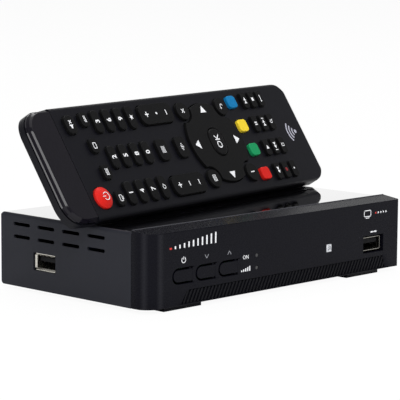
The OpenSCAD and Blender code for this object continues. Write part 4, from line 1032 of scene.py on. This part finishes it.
class DECODER_OT_remote_prints(Operator):
    """Print the digits and signs on the remote's keys"""

    bl_idname = "decoder.remote_prints"
    bl_label = "Remote Signs"

    def execute(self, context):
        looks = context.scene.remote_finish
        ink = bpy.data.materials["White pad-print ink"]
        for digit in range(10):
            node = "remote_key_%d" % digit
            printed = Layer(node + "_print", BODY_OF[node], ink)
            printed.text(str(digit), looks.digit_height, key_place(node))
            printed.close(node)
        ok = Layer("remote_ok_print", BODY_OF["remote_ok_key"], ink)
        ok.text("OK", 3.5 * MM, key_place("remote_ok_key"), 0.01)
        ok.close("remote_ok_key")
        for node, sign in (("remote_power_key", power_sign(3.6, 0.34)), ("remote_mute_key", mute_sign())):
            printed = Layer(node + "_print", BODY_OF[node], ink)
            printed.sign(sign, key_place(node))
            printed.close(node)
        ring = Layer("remote_ring_print", BODY_OF["remote_navigation_ring"], ink)
        middle = key_place("remote_navigation_ring")
        high, wide = 16.2, 17.6
        for x, y, turn in ((0, high, 0), (0, -high, 180), (wide, 0, -90), (-wide, 0, 90)):
            ring.sign([wedge(x, y, 4.6, 3.6, turn)], middle)
        ring.close("remote_navigation_ring")
        rockers = {"remote_volume_key": [bar(0, 0, 2.4, 0.5)], "remote_channel_key": [disc(0, 0, 0.6)]}
        size, line, reach = 2.6, 0.55, 7.4
        for node, sign in rockers.items():
            printed = Layer(node + "_print", BODY_OF[node], ink)
            middle = key_place(node)
            printed.sign(shifted(plus_sign(size, line), 0, reach), middle)
            printed.sign([bar(0, -reach, size, line)], middle)
            printed.sign(sign, middle)
            printed.close(node)
        self.print_small_keys(ink)
        return {"FINISHED"}

    def print_small_keys(self, ink):
        """Prints the keypad's small keys, listed from the window's end to the tail and up the face."""
        double = [wedge(-1.0, 0, 2.0, 1.7, -90), wedge(0.7, 0, 2.0, 1.7, -90)]
        back = [[(-x, y) for x, y in reversed(outline)] for outline in double]
        caption = [bar(-0.8, 0, 1.2, 0.4), bar(0.9, 0, 1.6, 0.4), bar(0, -0.8, 3.0, 0.4)]
        heights = (0.8, 1.7, 2.5, 1.7, 0.8)
        sound = [bar((i - 2) * 0.8, 0, 0.36, height) for i, height in enumerate(heights)]
        finder = arc(0, 0.3, 0.8, 0.32, 0, 360) + [stroke(0.55, -0.25, 1.2, -1.1, 0.36)]
        # None stands for the record key, whose dot has an ink of its own
        signs = [
            lines_sign(3.2, 3, 0.75, 0.32), frame_sign(3.0, 2.2, 0.36),
            screen_sign(3.2, 1.9, 0.34), caption,
            ring_arrow_sign(), star_sign(1.5),
            lines_sign(3.4, 4, 0.75, 0.3), sound,
            lines_sign(3.4, 3, 0.95, 0.42), cross_sign(2.0, 0.42),
            [disc(0, 1.2, 0.36), bar(0, -0.35, 0.55, 2.0)], return_sign(),
            back, [wedge(0, 0, 2.3, 2.0, -90)],
            [bar(-0.55, 0, 0.6, 2.0), bar(0.55, 0, 0.6, 2.0)], double,
            None, back + [bar(-2.2, 0, 0.4, 2.0)],
            double + [bar(2.2, 0, 0.4, 2.0)], [bar(0, 0, 1.7, 1.7)],
            [disc(0, 0, 0.5)], frame_sign(1.7, 2.2, 0.32), finder,
            [bar(0, 0, 2.6, 0.4), disc(-1.4, 0, 0.5), wedge(1.5, 0, 1.1, 0.9, -90)],
        ]
        printed = Layer("remote_keypad_print", "remote", ink)
        record = Layer("remote_record_print", "remote", printed_ink("Dark red ink", linear("#7d2529")))
        for sign, place in zip(signs, flat_tops("remote_keypad"), strict=True):
            if sign is None:
                record.sign([disc(0, 0, 0.95)], place)
            else:
                printed.sign(sign, place)
        printed.close("remote_keypad")
        low, high = key_span("remote_upper_case")
        tail = face_place(high.x - 11 * MM, (low.y + high.y) / 2, high.z)
        waves = [quad for i in range(3) for quad in arc(0, -3.0, 2.6 + 2.1 * i, 0.9, 45, 135, 12)]
        mark = Layer("remote_tail_print", "remote", printed_ink("Lilac-grey ink", linear("#a9a9b6")))
        mark.sign(waves + [disc(0, -3.0, 1.0)], tail)
        mark.close("remote_upper_case")
        record.close("remote_keypad")


class DECODER_OT_stage(Operator):
    """Set up the floor, lamps, white surround and camera"""

    bl_idname = "decoder.stage"
    bl_label = "Studio"

    def execute(self, context):
        studio = context.scene.studio
        context.scene.view_settings.view_transform = "Standard"
        self.lay_floor(studio)
        self.light_world(context.scene, studio)
        self.hang_lamps()
        self.set_camera(context.scene, studio)
        return {"FINISHED"}

    def lay_floor(self, studio):
        """Lays the plain floor, and stands a white backdrop far behind, which the lid mirrors."""
        half = studio.floor_size / 2
        corners = [(-half, -half, 0), (half, -half, 0), (half, half, 0), (-half, half, 0)]
        paper = studio_paper("White paper", linear("#f4f4f4"), studio.floor_glow, False)
        self.put_sheet("floor", corners, paper)
        away = Vector((-math.sin(studio.azimuth), math.cos(studio.azimuth), 0))
        side = Vector((away.y, -away.x, 0)) * studio.backdrop_width / 2
        foot = away * studio.backdrop_distance
        top = Vector((0, 0, studio.backdrop_height))
        corners = [foot - side, foot + side, foot + side + top, foot - side + top]
        paper = studio_paper("Backdrop paper", linear("#f4f4f4"), 1.0, True, studio.backdrop_white)
        self.put_sheet("backdrop", corners, paper)

    def put_sheet(self, name, corners, material):
        """Adds one flat sheet of the studio."""
        mesh = bpy.data.meshes.new(name)
        mesh.from_pydata(corners, [], [(0, 1, 2, 3)])
        mesh.materials.append(material)
        link(name, mesh)

    def light_world(self, scene, studio):
        """Gives even ambient light, with plain white for the lens."""
        world = bpy.data.worlds.new("Studio")
        world.use_nodes = True
        tree = world.node_tree
        tree.nodes.clear()
        path = add_node(tree, "ShaderNodeLightPath")
        strength = add_node(tree, "ShaderNodeMapRange", inputs={
            "Value": path.outputs["Is Camera Ray"], "To Min": studio.ambient, "To Max": 1.0})
        sky = add_node(tree, "ShaderNodeBackground", inputs={
            "Color": (1, 1, 1, 1), "Strength": strength.outputs["Result"]})
        add_node(tree, "ShaderNodeOutputWorld", inputs={"Surface": sky.outputs["Background"]})
        scene.world = world

    def hang_lamps(self):
        """Hangs the soft lamps: overhead, in front, at the left and behind."""
        # Name, place, aim, width, height and power in watts
        lamps = (
            ("Overhead softbox", (0.1, -0.1, 1.5), (0, 0, 0), 1.6, 1.6, 10.0),
            ("Key softbox", (-0.74, -1.07, 0.94), (0, 0, 0.06), 0.7, 0.7, 14.0),
            ("Left softbox", (-1.5, -0.5, 0.7), (0, 0, 0.04), 0.7, 1.2, 4.0),
            ("Back softbox", (1.1, 1.3, 2.4), (0, 0, 0.04), 2.0, 1.0, 24.0),
        )
        for name, place, aim, width, height, power in lamps:
            light = bpy.data.lights.new(name, "AREA")
            light.shape = "RECTANGLE"
            light.size, light.size_y = width, height
            light.energy = power
            lamp = bpy.data.objects.new(name, light)
            lamp.location = place
            lamp.rotation_euler = (Vector(aim) - Vector(place)).to_track_quat("-Z", "Y").to_euler()
            bpy.context.scene.collection.objects.link(lamp)

    def set_camera(self, scene, studio):
        """Stands the camera at the photograph's viewing angle."""
        a, e, r = studio.azimuth, studio.elevation, studio.roll
        back = Vector((math.sin(a) * math.cos(e), -math.cos(a) * math.cos(e), math.sin(e)))
        right = Vector((0, 0, 1)).cross(back).normalized()
        up = back.cross(right)
        right, up = right * math.cos(r) + up * math.sin(r), up * math.cos(r) - right * math.sin(r)
        data = bpy.data.cameras.new("Camera")
        data.lens = studio.lens
        data.sensor_width = 36.0
        data.clip_start = 0.01
        data.clip_end = 100.0
        camera = bpy.data.objects.new("Camera", data)
        turn = Matrix((right, up, back)).transposed().to_4x4()
        camera.matrix_world = Matrix.Translation(Vector(studio.target) + back * studio.distance) @ turn
        scene.collection.objects.link(camera)
        scene.camera = camera


class DECODER_PT_sidebar(Panel):
    """Lists the finishing steps and their settings"""

    bl_idname = "DECODER_PT_sidebar"
    bl_label = "Television Decoder"
    bl_space_type = "VIEW_3D"
    bl_region_type = "UI"
    bl_category = "Decoder"

    def draw(self, context):
        for step in STEPS:
            self.layout.operator(step.bl_idname)
        for group in (context.scene.decoder_finish, context.scene.remote_finish, context.scene.studio):
            box = self.layout.box()
            for name in group.bl_rna.properties.keys():
                if name not in ("rna_type", "name"):
                    box.prop(group, name)


GROUPS = (DecoderFinish, RemoteFinish, StudioSettings)
STEPS = (
    DECODER_OT_cover, DECODER_OT_front, DECODER_OT_front_prints, DECODER_OT_sockets, DECODER_OT_boards,
    DECODER_OT_remote_case, DECODER_OT_remote_keys, DECODER_OT_remote_prints, DECODER_OT_stage,
)


def register():
    """Registers the settings, steps and panel."""
    for item in (*GROUPS, *STEPS, DECODER_PT_sidebar):
        bpy.utils.register_class(item)
    bpy.types.Scene.decoder_finish = PointerProperty(type=DecoderFinish)
    bpy.types.Scene.remote_finish = PointerProperty(type=RemoteFinish)
    bpy.types.Scene.studio = PointerProperty(type=StudioSettings)


def unregister():
    """Takes the settings, steps and panel away again."""
    del bpy.types.Scene.studio
    del bpy.types.Scene.remote_finish
    del bpy.types.Scene.decoder_finish
    for item in reversed((*GROUPS, *STEPS, DECODER_PT_sidebar)):
        bpy.utils.unregister_class(item)


def main():
    """Dresses the decoder."""
    register()
    for step in STEPS:
        group, name = step.bl_idname.split(".")
        getattr(getattr(bpy.ops, group), name)()
    bpy.context.view_layer.update()


if __name__ == "__main__":
    main()
